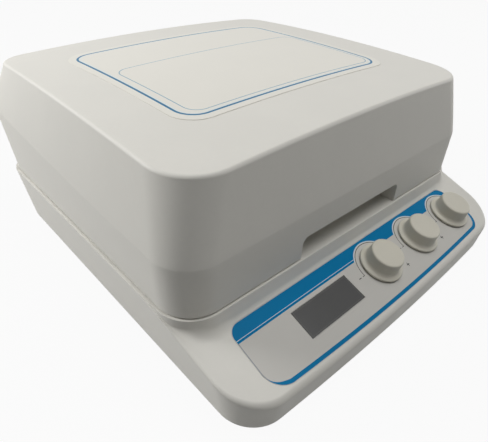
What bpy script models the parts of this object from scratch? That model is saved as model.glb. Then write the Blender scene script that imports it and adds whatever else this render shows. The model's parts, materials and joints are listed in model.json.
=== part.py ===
"""Bench-top microplate incubator: hinged lid, sloped control panel and an orbiting heated tray.

Metres, +Z up, the front faces -Y. The origin lies on the bench, under the middle of the overall box.
"""

import math

import bpy
from mathutils import Matrix, Vector

for leftover in list(bpy.data.objects):
    bpy.data.objects.remove(leftover)

MM = 0.001
GAP = 0.3 * MM  # left between pieces that touch
WALL = 3.0 * MM  # moulded walls of base and lid
FILM = 0.4 * MM  # printed overlay and label
SHEET = 2.0 * MM  # closes the housing below
BOARD_THICK = 1.6 * MM
BOARD_CORNER = 2.0 * MM

# Tray for four plates: it sets the lid's size, and the lid sets the housing's
PLATE_LENGTH = 127.76 * MM  # standard microplate footprint
PLATE_WIDTH = 85.48 * MM
BAY_CLEAR = 0.7 * MM
BAY_CORNER = 3.0 * MM
TRAY_RIB = 3.0 * MM
TRAY_FLOOR = 3.0 * MM
TRAY_RIM = 5.0 * MM
TRAY_CORNER = 6.0 * MM
TRAY_BOSS_WALL = 2.7 * MM
TRAY_BOSS_DROP = 4.0 * MM
GRIP_WIDTH = 24.0 * MM  # gaps in the ribs for finger and thumb
GRIP_SILL = 1.0 * MM
HEATER_THICK = 1.0 * MM
HEATER_MARGIN = 8.0 * MM
HEATER_CORNER = 4.0 * MM

# Orbiting drive under the tray
ORBIT = 1.5 * MM  # radius of the tray's circle
SPINDLE_R = 5.0 * MM
SPINDLE_PIN_R = 4.0 * MM
BEARING_WALL = 5.4 * MM
BUSH_FLANGE = 1.5 * MM
BUSH_LIP = 3.0 * MM
BUSH_BELOW_DECK = 4.0 * MM
CRANK_THICK = 3.0 * MM
COUNTERWEIGHT_R = 24.0 * MM
COUNTERWEIGHT_NOSE = 16.0 * MM  # its width round the pin
IDLER_R = 3.0 * MM
IDLER_BUSH_WALL = 2.7 * MM
IDLER_CRANK_EDGE = 3.0 * MM
IDLER_INSET_X = 38.0 * MM  # from the tray's edges
IDLER_INSET_Y = 30.7 * MM
MOTOR_R = 19.0 * MM
MOTOR_HEIGHT = 24.0 * MM
MOTOR_EDGE = 2.0 * MM
MOTOR_CAP = 5.0 * MM  # end cap, above a groove
MOTOR_GROOVE = 1.5 * MM
MOTOR_CLEAR = 9.4 * MM  # above the closing sheet
BRACKET_THICK = 2.5 * MM
BRACKET_LEG = 6.5 * MM
BRACKET_LEG_R = 3.5 * MM
BRACKET_EDGE = 1.0 * MM
BRACKET_BORE_CLEAR = 4.0 * MM

# Lid
LID_SIDE_ROOM = 16.5 * MM  # from the tray to the lid's outside at the seam
LID_REAR_ROOM = 27.1 * MM
TRAY_BEHIND_NOTCH = 24.0 * MM
LID_CORNER = 24.0 * MM
LID_HEIGHT = 93.7 * MM  # seam to the middle of the crowned top
CREASE_SIDE = 3.0 * MM  # the crease stands out past the seam by these
CREASE_FRONT = 1.6 * MM
CREASE_REAR = 19.0 * MM
CREASE_CORNER = 26.0 * MM
CREASE_UP_FRONT = 36.0 * MM
CREASE_UP_REAR = 49.0 * MM
TOP_IN_SIDE = 7.0 * MM  # the top edge lies inside the crease by these
TOP_IN_FRONT = 5.5 * MM
TOP_IN_REAR = 5.5 * MM
TOP_CORNER = 32.0 * MM
TOP_EDGE = 2.5 * MM
CROWN_SIDE = 4.5 * MM
CROWN_END = 4.0 * MM
SOFT_FRONT = 1.8  # how slowly the wall bends in above the crease
SOFT_REAR = 1.1
NOTCH_WIDTH = 110.0 * MM
NOTCH_HEIGHT = 17.0 * MM
NOTCH_DEPTH = 22.0 * MM
NOTCH_CORNER = 7.0 * MM
LABEL_IN_SIDE = 40.5 * MM  # from the top's edges
LABEL_IN_FRONT = 50.0 * MM
LABEL_IN_BACK = 44.0 * MM
LABEL_CORNER = 14.0 * MM
WARMER_IN_SIDE = 27.5 * MM  # heated plate in the lid, from the top's edges
WARMER_IN_END = 44.0 * MM
WARMER_THICK = 1.5 * MM
WARMER_CORNER = 8.0 * MM
WARMER_DROP = 14.0 * MM  # below the middle of the lid's top

# Base housing
STAND_OFF = 4.0 * MM  # the feet hold the housing this far off the bench
PLINTH_STEP = 1.5 * MM  # the lid's seat stands this far above the shoulder
PLINTH_MARGIN = 1.0 * MM
PLINTH_EDGE = 0.8 * MM
PLINTH_FILLET = 5.5 * MM
PLINTH_SINK = 2.0 * MM
BASE_BESIDE_LID = 1.5 * MM  # shoulder past the lid's seam
BASE_BEHIND_LID = 3.5 * MM
BASE_CORNER_FRONT = 32.0 * MM
BASE_CORNER_BACK = 26.0 * MM
WALL_LEAN = 0.19  # the walls draw in by this much for each unit downwards
FRONT_BOW = 4.5 * MM
HOUSING_EDGE = 3.0 * MM
SHOULDER_BLEND = 3.0 * MM  # eases the panel's slope into the shoulder

# Control panel
PANEL_REACH = 53.5 * MM  # housing's front edge ahead of the lid's front
PANEL_SLOPE = math.radians(18.3)
PANEL_TOP_AHEAD = 4.4 * MM  # overlay's upper edge ahead of the lid's front
PANEL_TOP_BELOW = 11.9 * MM  # and below the lid's seat
OVERLAY_IN_SIDE = 28.0 * MM
OVERLAY_IN_FRONT = 3.6 * MM
OVERLAY_BOW = 3.4 * MM
OVERLAY_CORNER_FRONT = 14.0 * MM
OVERLAY_CORNER_BACK = 8.0 * MM
OVERLAY_RECESS = 0.6 * MM
DISPLAY_WIDTH = 52.7 * MM
DISPLAY_DEPTH = 19.5 * MM
DISPLAY_BESIDE = 17.15 * MM  # its edge from the first knob's flange
DISPLAY_DOWN = 23.8 * MM  # down the slope from the overlay's upper edge
DISPLAY_LEDGE = 1.5 * MM
DISPLAY_FRAME = 4.0 * MM
KNOB_COUNT = 3
KNOB_IN = 19.46 * MM  # last knob from the overlay's right edge
KNOB_PITCH = 50.0 * MM
KNOB_DOWN = 22.4 * MM
KNOB_FLANGE_R = 15.5 * MM
KNOB_FLANGE_THICK = 3.0 * MM
KNOB_STEP = 2.6 * MM  # cap's top inside the flange
KNOB_DRAFT = 0.6 * MM
KNOB_HEIGHT = 14.0 * MM
KNOB_LIFT = 1.4 * MM
KNOB_CROWN = 3.0 * MM  # over the end of the shaft
KNOB_ROUND = 0.7 * MM
KNOB_TOP_ROUND = 1.7 * MM
SHAFT_R = 3.0 * MM
BUSH_WALL = 1.2 * MM
BUSH_PROUD = 0.5 * MM
ENCODER_SIDE = 13.0 * MM
ENCODER_HEIGHT = 7.0 * MM
ENCODER_FLOOR = 1.5 * MM
ENCODER_CORNER = 1.0 * MM
BOARD_MARGIN = 7.0 * MM  # past the display and the last encoder
BOARD_DEPTH = 34.0 * MM
CHIP_SIDE = 12.0 * MM
CHIP_THICK = 3.0 * MM
CHIP_LEFT = 40.0 * MM  # from the board's middle
PLUG_LENGTH = 22.0 * MM
PLUG_WIDTH = 7.0 * MM
PLUG_HEIGHT = 5.0 * MM
PLUG_RIGHT = 30.0 * MM
PLUG_UP = 8.0 * MM

# Hinges
HINGE_IN = 54.46 * MM  # a hinge's middle from the lid's side
HINGE_WIDTH = 48.0 * MM
HINGE_BEHIND = 9.0 * MM  # axis behind the lid's rear seam
HINGE_UP = 3.0 * MM
BARREL_R = 3.6 * MM
PIN_R = 2.0 * MM
LEAF_THICK = 2.0 * MM
LEAF_LENGTH = 26.0 * MM
LEAF_UP = 1.0 * MM  # above the lid's rim

# Screws, feet and vents
BOSS_R = 5.0 * MM
SCREW_R = 1.7 * MM
SCREW_HEAD_R = 3.6 * MM
SCREW_HEAD = 2.0 * MM
SCREW_ROUND = 1.1 * MM
SCREW_LENGTH = 12.0 * MM
SCREW_INSET = 12.0 * MM
FOOT_R = 10.0 * MM
FOOT_EDGE = 0.6 * MM
FOOT_TAPER = 1.0 * MM
FOOT_STEM_R = 3.0 * MM
FOOT_BARB = 3.0 * MM
FOOT_INSET = 30.0 * MM
VENT_COUNT = 9
VENT_PITCH = 9.0 * MM
VENT_LENGTH = 46.0 * MM
VENT_WIDTH = 4.0 * MM
VENT_CORNER = 1.5 * MM

# Supply board, inlet and switch at the rear
SUPPLY_WIDTH = 96.0 * MM
SUPPLY_DEPTH = 62.0 * MM
SUPPLY_ASIDE = 9.0 * MM  # left of the middle
SUPPLY_BEHIND = 28.0 * MM  # free space to the rear wall
SUPPLY_LEG = 6.0 * MM
SUPPLY_LEG_R = 3.0 * MM
COIL_WIDTH = 30.0 * MM
COIL_DEPTH = 26.0 * MM
COIL_HEIGHT = 20.0 * MM
CAN_R = 8.0 * MM
CAN_HEIGHT = 18.0 * MM
FIN_WIDTH = 20.0 * MM
FIN_THICK = 4.0 * MM
FIN_HEIGHT = 16.0 * MM
FLANGE = 1.5 * MM  # thickness of the rear fittings' flanges
FLANGE_LIP = 3.0 * MM
FLANGE_CORNER = 1.5 * MM
INLET_ASIDE = 6.0 * MM  # beside the right hinge
INLET_WIDTH = 40.0 * MM
INLET_HEIGHT = 24.0 * MM
INLET_DEEP = 24.0 * MM
SOCKET_WIDTH = 24.6 * MM
SOCKET_HEIGHT = 17.0 * MM
SOCKET_DEEP = 15.0 * MM
SOCKET_BEVEL = 4.5 * MM
BLADE_WIDTH = 2.0 * MM
BLADE_HEIGHT = 4.0 * MM
BLADE_PITCH = 7.0 * MM
BLADE_RISE = 2.0 * MM  # middle blade above the socket's centre, outer ones below
BLADE_SHORT = 5.5 * MM  # behind the mouth
SWITCH_ASIDE = 7.7 * MM  # beside the inlet
SWITCH_RIM = 2.0 * MM
SWITCH_DEEP = 14.0 * MM
SWITCH_WELL = 6.0 * MM
ROCKER_WIDTH = 9.0 * MM
ROCKER_HEIGHT = 13.0 * MM
ROCKER_TILT = math.radians(7.0)  # either side of level
ROCKER_PIVOT = 1.5 * MM  # under the wall's face
ROCKER_TIP = 5.2 * MM  # above the pivot
ROCKER_DIP = 1.6 * MM
ROCKER_KEEL = 3.2 * MM
ROCKER_KEEL_IN = 2.6 * MM

# Smoothness
CORNER_STEPS = 6
STRAIGHT_STEPS = 4
SIDE_STEPS = 5
EDGE_STEPS = 3
ROUND_STEPS = 24
SMALL_STEPS = 12
SHARP = math.radians(32)

# Sizes and places that follow
TRAY_WIDTH = 2 * (PLATE_LENGTH + BAY_CLEAR) + 3 * TRAY_RIB
TRAY_DEPTH = 2 * (PLATE_WIDTH + BAY_CLEAR) + 3 * TRAY_RIB
LID_WIDTH = TRAY_WIDTH + 2 * LID_SIDE_ROOM
LID_DEPTH = NOTCH_DEPTH + TRAY_BEHIND_NOTCH + TRAY_DEPTH + LID_REAR_ROOM
BASE_WIDTH = LID_WIDTH + 2 * BASE_BESIDE_LID
OVERALL_DEPTH = PANEL_REACH + LID_DEPTH + CREASE_REAR
LID_FRONT = PANEL_REACH - OVERALL_DEPTH / 2
LID_BACK = LID_FRONT + LID_DEPTH
BASE_BACK = LID_BACK + BASE_BEHIND_LID
SHEET_TOP = STAND_OFF + SHEET
MOTOR_LOW = SHEET_TOP + MOTOR_CLEAR
MOTOR_TOP = MOTOR_LOW + MOTOR_HEIGHT
BRACKET_LOW = MOTOR_TOP + GAP
BRACKET_TOP = BRACKET_LOW + BRACKET_THICK
DECK_UNDER = BRACKET_TOP + BRACKET_LEG + GAP
SHOULDER_Z = DECK_UNDER + WALL
DECK_Z = SHOULDER_Z + PLINTH_STEP
SEAM_Z = DECK_Z + GAP
LID_TOP_Z = SEAM_Z + LID_HEIGHT
TOP_HALF = LID_WIDTH / 2 + CREASE_SIDE - TOP_IN_SIDE
TOP_FRONT = LID_FRONT - CREASE_FRONT + TOP_IN_FRONT
TOP_BACK = LID_BACK + CREASE_REAR - TOP_IN_REAR
TOP_MIDDLE = (TOP_FRONT + TOP_BACK) / 2
WARMER_WIDTH = 2 * (TOP_HALF - WARMER_IN_SIDE)
WARMER_DEPTH = TOP_BACK - TOP_FRONT - 2 * WARMER_IN_END
TRAY_Y = LID_FRONT + NOTCH_DEPTH + TRAY_BEHIND_NOTCH + TRAY_DEPTH / 2
CRANK_Z = DECK_Z + GAP + BUSH_FLANGE + GAP
CRANK_TOP = CRANK_Z + CRANK_THICK
TRAY_Z = CRANK_TOP + GAP + TRAY_BOSS_DROP
TRAY_TOP = TRAY_Z + TRAY_FLOOR
PIN_TOP = TRAY_Z + TRAY_FLOOR / 3
TRAY_BOSS_R = SPINDLE_PIN_R + GAP + TRAY_BOSS_WALL
BEARING_R = SPINDLE_R + GAP + BEARING_WALL
IDLER_BUSH_R = IDLER_R + GAP + IDLER_BUSH_WALL
BUSH_R = SHAFT_R + GAP + BUSH_WALL
PANEL_TOP_Y = LID_FRONT - PANEL_TOP_AHEAD
PANEL_TOP_Z = DECK_Z - PANEL_TOP_BELOW
PANEL_MEETS_Y = PANEL_TOP_Y + (SHOULDER_Z - PANEL_TOP_Z) / math.tan(PANEL_SLOPE)
OVERLAY_WIDTH = BASE_WIDTH - 2 * OVERLAY_IN_SIDE
OVERLAY_LENGTH = (PANEL_REACH - PANEL_TOP_AHEAD - OVERLAY_IN_FRONT) / math.cos(PANEL_SLOPE)
OVERLAY_LOW = GAP - OVERLAY_RECESS
KNOB_LAST_X = OVERLAY_WIDTH / 2 - KNOB_IN
KNOB_XS = [KNOB_LAST_X - i * KNOB_PITCH for i in reversed(range(KNOB_COUNT))]
DISPLAY_X = KNOB_XS[0] - KNOB_FLANGE_R - DISPLAY_BESIDE - DISPLAY_WIDTH / 2
PANEL_UNDER = -WALL - OVERLAY_RECESS - GAP
BOARD_TOP = PANEL_UNDER - ENCODER_HEIGHT - GAP
HINGE_X = LID_WIDTH / 2 - HINGE_IN
HINGE_Y = LID_BACK + HINGE_BEHIND
HINGE_Z = DECK_Z + HINGE_UP
FLANGE_TOP = GAP + FLANGE
INLET_X = HINGE_X - HINGE_WIDTH / 2 - INLET_ASIDE - INLET_WIDTH / 2 - FLANGE_LIP
WELL_WIDTH = ROCKER_WIDTH + 2 * GAP
WELL_HEIGHT = ROCKER_HEIGHT + 2 * (ROCKER_TIP * math.sin(ROCKER_TILT) + GAP)
SWITCH_WIDTH = WELL_WIDTH + 2 * SWITCH_RIM
SWITCH_HEIGHT = WELL_HEIGHT + 2 * SWITCH_RIM
SWITCH_X = INLET_X - INLET_WIDTH / 2 - SWITCH_ASIDE - SWITCH_WIDTH / 2 - 2 * FLANGE_LIP

# Colour, roughness and metallic value of each finish
FINISHES = {
    "shell": ((0.66, 0.64, 0.59), 0.45, 0.0),
    "knob": ((0.60, 0.58, 0.53), 0.5, 0.0),
    "overlay": ((0.02, 0.17, 0.38), 0.4, 0.0),
    "label": ((0.78, 0.76, 0.68), 0.4, 0.0),
    "window": ((0.05, 0.05, 0.05), 0.12, 0.0),
    "board": ((0.03, 0.16, 0.08), 0.5, 0.0),
    "black": ((0.02, 0.02, 0.02), 0.45, 0.0),
    "rubber": ((0.03, 0.03, 0.03), 0.85, 0.0),
    "steel": ((0.55, 0.55, 0.56), 0.32, 1.0),
    "aluminium": ((0.72, 0.73, 0.74), 0.38, 1.0),
    "brass": ((0.70, 0.52, 0.24), 0.35, 1.0),
    "silicone": ((0.55, 0.16, 0.07), 0.7, 0.0),
}


# Shapes are pairs of points and faces, made objects by solid(), cut() and fuse()


def moved(shape, matrix):
    points, faces = shape
    return [matrix @ p for p in points], faces


def shifted(shape, x=0.0, y=0.0, z=0.0):
    return moved(shape, Matrix.Translation((x, y, z)))


def combined(*shapes):
    points = []
    faces = []
    for more, joined in shapes:
        start = len(points)
        points += more
        faces += [tuple(start + i for i in face) for face in joined]
    return points, faces


def prism(outline, low, high):
    """An outline, anticlockwise in XY, raised from low to high."""
    n = len(outline)
    points = [Vector((x, y, z)) for z in (low, high) for x, y in outline]
    sides = [(i, (i + 1) % n, n + (i + 1) % n, n + i) for i in range(n)]
    return points, sides + [tuple(reversed(range(n))), tuple(range(n, 2 * n))]


def rounded(width, height, radius=0.0, steps=3):
    """A rectangle about the origin with round corners, anticlockwise."""
    if radius == 0.0:
        return [
            (sx * width / 2, sy * height / 2)
            for sx, sy in ((-1, -1), (1, -1), (1, 1), (-1, 1))
        ]
    outline = []
    for quarter in range(4):
        sx = (1, -1, -1, 1)[quarter]
        sy = (1, 1, -1, -1)[quarter]
        for i in range(steps + 1):
            a = (quarter + i / steps) * math.pi / 2
            outline.append(
                (
                    sx * (width / 2 - radius) + radius * math.cos(a),
                    sy * (height / 2 - radius) + radius * math.sin(a),
                )
            )
    return outline


def block(width, depth, low, high, radius=0.0):
    return prism(rounded(width, depth, radius), low, high)


def revolve(profile, steps=ROUND_STEPS):
    """A profile of (radius, height) turned about Z. It runs up the outside, from the axis to the axis."""
    points = []
    rows = []
    for r, z in profile:
        if r == 0.0:
            rows.append([len(points)] * steps)
            points.append(Vector((0, 0, z)))
            continue
        rows.append([len(points) + i for i in range(steps)])
        for i in range(steps):
            a = 2 * math.pi * i / steps
            points.append(Vector((r * math.cos(a), r * math.sin(a), z)))
    faces = []
    for low, high in zip(rows, rows[1:]):
        for i in range(steps):
            j = (i + 1) % steps
            corners = dict.fromkeys((low[i], low[j], high[j], high[i]))
            faces.append(tuple(corners))
    return points, faces


def tube(profile, steps=ROUND_STEPS):
    """A closed profile of (radius, height) off the axis, anticlockwise, turned about Z."""
    points, faces = revolve(profile, steps)
    last = (len(profile) - 1) * steps
    for i in range(steps):
        j = (i + 1) % steps
        faces.append((last + i, last + j, j, i))
    return points, faces


def cylinder(radius, low, high, steps=ROUND_STEPS):
    return revolve([(0.0, low), (radius, low), (radius, high), (0.0, high)], steps)


def eased(corners, steps=2):
    """A profile of (radius, height, rounding), each corner eased over its rounding."""
    profile = []
    for i, (r, z, rounding) in enumerate(corners):
        here = Vector((r, z))
        if rounding == 0.0:
            profile.append((r, z))
            continue
        before, after = (
            here + rounding * (Vector(corners[j][:2]) - here).normalized() for j in (i - 1, i + 1)
        )
        for k in range(steps + 1):
            t = k / steps
            profile.append(tuple(before.lerp(here, t).lerp(here.lerp(after, t), t)))
    return profile


def half_outline(half_width, front, back, corner_front, corner_back, stations=(), bow=0.0):
    """Right half of a rounded rectangle, from the front's middle to the back's, with plan normals."""
    half = []
    for i in range(STRAIGHT_STEPS):
        half.append(((half_width - corner_front) * i / STRAIGHT_STEPS, front, 0.0, -1.0))
    for i in range(CORNER_STEPS + 1):
        a = math.pi / 2 * (i / CORNER_STEPS - 1)
        nx, ny = math.cos(a), math.sin(a)
        half.append(
            (half_width + corner_front * (nx - 1), front + corner_front * (ny + 1), nx, ny)
        )
    half = [(x, y - bow * (1 - (x / half_width) ** 2), nx, ny) for x, y, nx, ny in half]
    half += [(half_width, y, 1.0, 0.0) for y in stations]
    for i in range(CORNER_STEPS + 1):
        a = math.pi / 2 * i / CORNER_STEPS
        nx, ny = math.cos(a), math.sin(a)
        half.append(
            (half_width + corner_back * (nx - 1), back + corner_back * (ny - 1), nx, ny)
        )
    for i in range(1, STRAIGHT_STEPS + 1):
        half.append(((half_width - corner_back) * (1 - i / STRAIGHT_STEPS), back, 0.0, 1.0))
    return half


def side_stations(low, high):
    """Points along a straight side, between its ends."""
    return [mixed(low, high, i / SIDE_STEPS) for i in range(1, SIDE_STEPS)]


def mirrored_ring(half, place):
    right = [Vector(place(*p)) for p in half]
    return right + [Vector((-p.x, p.y, p.z)) for p in reversed(right[1:-1])]


def loft(rings):
    """A closed skin through rings of one count, lowest first. Each end is closed by strips across X."""
    n = len(rings[0])
    points = [p for ring in rings for p in ring]
    faces = []
    for k in range(len(rings) - 1):
        for i in range(n):
            j = (i + 1) % n
            faces.append((k * n + i, k * n + j, k * n + n + j, k * n + n + i))
    top = (len(rings) - 1) * n
    faces += [tuple(reversed(strip)) for strip in strips_across(rings[0])]
    faces += [tuple(top + i for i in strip) for strip in strips_across(rings[-1])]
    return points, faces


def strips_across(ring):
    """Faces between the mirrored points of a ring. Straight front and back edges lie in the end ones."""
    n = len(ring)
    half = n // 2
    near = GAP / 1000
    first = 1 + max(i for i in range(half) if ring[i].y - ring[0].y < near)
    last = min(i for i in range(half + 1) if ring[half].y - ring[i].y < near) - 1
    front = (*range(first + 1), *range(n - first, n))
    back = tuple(range(last, n - last + 1))
    return [front, *((i, i + 1, n - i - 1, n - i) for i in range(first, last)), back]


def flat_loft(half, low, high, grow=0.0):
    """A half outline, grown along its normals, raised from low to high."""
    return loft(
        [
            mirrored_ring(half, lambda x, y, nx, ny: (x + nx * grow, y + ny * grow, z))
            for z in (low, high)
        ]
    )


def mesh_object(name, shape):
    points, faces = shape
    mesh = bpy.data.meshes.new(name)
    mesh.from_pydata([tuple(p) for p in points], [], faces)
    mesh.shade_smooth()
    mesh.set_sharp_from_angle(angle=SHARP)
    made = bpy.data.objects.new(name, mesh)
    bpy.context.scene.collection.objects.link(made)
    return made


def placed(made, frame, parent):
    if parent is not None:
        made.parent = parent
        made.matrix_parent_inverse = parent.matrix_basis.inverted()
    made.matrix_basis = frame
    return made


def solid(name, shape, finish, frame=Matrix(), parent=None):
    made = placed(mesh_object(name, shape), frame, parent)
    colour, roughness, metallic = FINISHES[finish]
    look = bpy.data.materials.new(name)
    look.use_nodes = True
    shader = look.node_tree.nodes["Principled BSDF"]
    shader.inputs["Base Color"].default_value = (*colour, 1.0)
    shader.inputs["Roughness"].default_value = roughness
    shader.inputs["Metallic"].default_value = metallic
    made.data.materials.append(look)
    return made


def axis_empty(name, frame):
    empty = bpy.data.objects.new(name, None)
    empty.empty_display_size = 2 * HINGE_BEHIND
    empty.matrix_basis = frame
    bpy.context.scene.collection.objects.link(empty)
    return empty


def boolean(target, operation, name, shape, frame=Matrix()):
    """Cuts a shape from an object or joins it on, by a modifier that stays live."""
    tool = placed(mesh_object(name, shape), frame, None)
    tool.hide_render = True
    tool.display_type = "WIRE"
    modifier = target.modifiers.new(name, "BOOLEAN")
    modifier.operation = operation
    modifier.object = tool
    return tool


def cut(target, name, shape, frame=Matrix()):
    return boolean(target, "DIFFERENCE", name, shape, frame)


def fuse(target, name, shape, frame=Matrix()):
    return boolean(target, "UNION", name, shape, frame)


def mixed(a, b, t):
    return a + (b - a) * t


# Frames of the sloped panel and of the leaning rear wall: Y runs up them and Z out of them


def frame_of(origin, x_axis, y_axis):
    x = Vector(x_axis).normalized()
    y = Vector(y_axis).normalized()
    z = x.cross(y)
    turn = Matrix((x, y, z)).transposed().to_4x4()
    return Matrix.Translation(origin) @ turn


UP_PANEL = (0, math.cos(PANEL_SLOPE), math.sin(PANEL_SLOPE))
PANEL = frame_of((0, PANEL_TOP_Y, PANEL_TOP_Z), (1, 0, 0), UP_PANEL)
REAR_Z = (STAND_OFF + SHOULDER_Z) / 2
REAR_Y = BASE_BACK - WALL_LEAN * (SHOULDER_Z - REAR_Z)
REAR = frame_of((0, REAR_Y, REAR_Z), (-1, 0, 0), (0, WALL_LEAN, 1))
ALONG_X = Matrix(((0, 0, 1, 0), (1, 0, 0, 0), (0, 1, 0, 0), (0, 0, 0, 1)))


def on_panel(x, down, up=0.0):
    return PANEL @ Matrix.Translation((x, -down, up))


def top_height(y):
    """Height of the housing's top, the panel's slope running softly into the level shoulder."""
    slope = PANEL_TOP_Z + (y - PANEL_TOP_Y) * math.tan(PANEL_SLOPE)
    t = min(max(0.5 + (SHOULDER_Z - slope) / (2 * SHOULDER_BLEND), 0.0), 1.0)
    return mixed(SHOULDER_Z, slope, t) - SHOULDER_BLEND * t * (1 - t)


def housing_rings(inset, drop, bottom, edge, steps=EDGE_STEPS):
    """Rings of the housing's leaning walls, its edge rounding and the rim of its top."""
    fall = (PANEL_REACH - PANEL_TOP_AHEAD) * math.tan(PANEL_SLOPE)
    front_z = PANEL_TOP_Z - fall - HOUSING_EDGE
    front = LID_FRONT - PANEL_REACH - WALL_LEAN * (SHOULDER_Z - front_z) + FRONT_BOW
    blend = SHOULDER_BLEND / math.tan(PANEL_SLOPE)
    ease = [PANEL_MEETS_Y + blend * share for share in (-1, -1 / 3, 1 / 3, 1)]
    stations = [mixed(front + BASE_CORNER_FRONT, ease[0], 0.5), *ease]
    half = half_outline(
        BASE_WIDTH / 2, front, BASE_BACK, BASE_CORNER_FRONT, BASE_CORNER_BACK, stations, FRONT_BOW
    )

    def on_wall(p, z, deeper=0.0):
        x, y, nx, ny = p
        d = inset + WALL_LEAN * (SHOULDER_Z - z) + deeper
        return x - nx * d, y - ny * d, z

    def wall_top(p):
        z = SHOULDER_Z
        for _ in range(8):
            z = top_height(on_wall(p, z)[1]) - drop - edge
        return z

    def on_edge(p, a):
        x, y, _ = on_wall(p, wall_top(p), edge * (1 - math.cos(a)))
        return x, y, top_height(y) - drop - edge * (1 - math.sin(a))

    rings = [mirrored_ring(half, lambda *p: on_wall(p, bottom))]
    for k in range(steps + 1):
        a = math.pi / 2 * k / steps
        rings.append(mirrored_ring(half, lambda *p: on_edge(p, a)))
    return rings


def lid_half(level):
    """Plan outline of the lid at its seam, its crease or its top edge."""
    sizes = {
        "seam": (LID_WIDTH / 2, LID_FRONT, LID_BACK, LID_CORNER),
        "crease": (
            LID_WIDTH / 2 + CREASE_SIDE,
            LID_FRONT - CREASE_FRONT,
            LID_BACK + CREASE_REAR,
            CREASE_CORNER,
        ),
        "top": (TOP_HALF, TOP_FRONT, TOP_BACK, TOP_CORNER),
    }
    half_width, front, back, corner = sizes[level]
    stations = side_stations(front + corner, back - corner)
    return half_outline(half_width, front, back, corner, corner, stations)


def plinth_rings():
    """The seat under the lid: it rises from the panel with a hollow fillet round its foot."""
    half = lid_half("seam")

    def at(p, spread, rise):
        x, y, nx, ny = p
        foot = top_height(y)
        fillet = min(PLINTH_FILLET, (DECK_Z - foot) / 2)
        d = PLINTH_MARGIN + fillet * spread
        return x + nx * d, y + ny * d, foot + fillet * rise

    def rim(p, a):
        x, y, nx, ny = p
        d = PLINTH_MARGIN - PLINTH_EDGE * (1 - math.cos(a))
        return x + nx * d, y + ny * d, DECK_Z - PLINTH_EDGE * (1 - math.sin(a))

    def sunk(p):
        x, y, z = at(p, 1.0, 0.0)
        return x, y, min(z, top_height(y)) - PLINTH_SINK

    rings = [mirrored_ring(half, lambda *p: sunk(p))]
    for k in range(EDGE_STEPS + 1):
        a = math.pi / 2 * k / EDGE_STEPS
        rings.append(mirrored_ring(half, lambda *p: at(p, 1 - math.sin(a), 1 - math.cos(a))))
    for k in range(EDGE_STEPS):
        a = math.pi / 2 * k / (EDGE_STEPS - 1)
        rings.append(mirrored_ring(half, lambda *p: rim(p, a)))
    return rings


def crown_height(x, y):
    """Height of the lid's crowned top."""
    across = x / TOP_HALF
    along = (y - TOP_MIDDLE) / ((TOP_BACK - TOP_FRONT) / 2)
    return LID_TOP_Z - CROWN_SIDE * across**2 - CROWN_END * along**2


def lid_rings(inset, drop, bottom, fine):
    """Rings of the lid from its seam past the crease, round the top edge and over the crown."""
    seam, crease, top = (lid_half(level) for level in ("seam", "crease", "top"))
    both = list(zip(seam, crease, top))

    def crease_up(y):
        t = (y - LID_FRONT) / LID_DEPTH
        return mixed(CREASE_UP_FRONT, CREASE_UP_REAR, t * t)

    def lower(low, mid, t):
        x, y = mixed(low[0], mid[0], t), mixed(low[1], mid[1], t)
        z = mixed(bottom, SEAM_Z + crease_up(mid[1]), t)
        return x - inset * low[2], y - inset * low[3], z

    def upper(mid, high, t):
        along = (mid[1] - LID_FRONT) / LID_DEPTH
        bend = t ** mixed(SOFT_FRONT, SOFT_REAR, min(max(along, 0.0), 1.0))
        x, y = mixed(mid[0], high[0], bend), mixed(mid[1], high[1], bend)
        edge_z = crown_height(high[0], high[1]) - TOP_EDGE - drop
        z = mixed(SEAM_Z + crease_up(mid[1]), edge_z, t)
        return x - inset * mid[2], y - inset * mid[3], z

    def rounding(high, a):
        d = inset + TOP_EDGE * (1 - math.cos(a))
        x, y = high[0] - d * high[2], high[1] - d * high[3]
        return x, y, crown_height(x, y) - drop - TOP_EDGE * (1 - math.sin(a))

    def inner(high, share):
        x, y, _ = rounding(high, math.pi / 2)
        x, y = x * share, mixed(TOP_MIDDLE, y, share)
        return x, y, crown_height(x, y) - drop

    bends = (0.25, 0.5, 0.75, 1.0) if fine else (0.5, 1.0)
    shares = (0.84, 0.6, 0.34, 0.1) if fine else (0.6, 0.1)
    turns = EDGE_STEPS if fine else 1
    places = [lambda low, mid, high, t=t: lower(low, mid, t) for t in (0.0, 1.0)]
    places += [lambda low, mid, high, t=t: upper(mid, high, t) for t in bends]
    for k in range(1, turns + 1):
        a = math.pi / 2 * k / turns
        places.append(lambda low, mid, high, a=a: rounding(high, a))
    places += [lambda low, mid, high, s=s: inner(high, s) for s in shares]
    rings = []
    for place in places:
        right = [Vector(place(*levels)) for levels in both]
        rings.append(right + [Vector((-p.x, p.y, p.z)) for p in reversed(right[1:-1])])
    return rings


# Corners where screws, feet and idlers stand


def corner_points(half_x, front, back):
    return [(sx * half_x, y) for y in (front, back) for sx in (-1, 1)]


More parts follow.
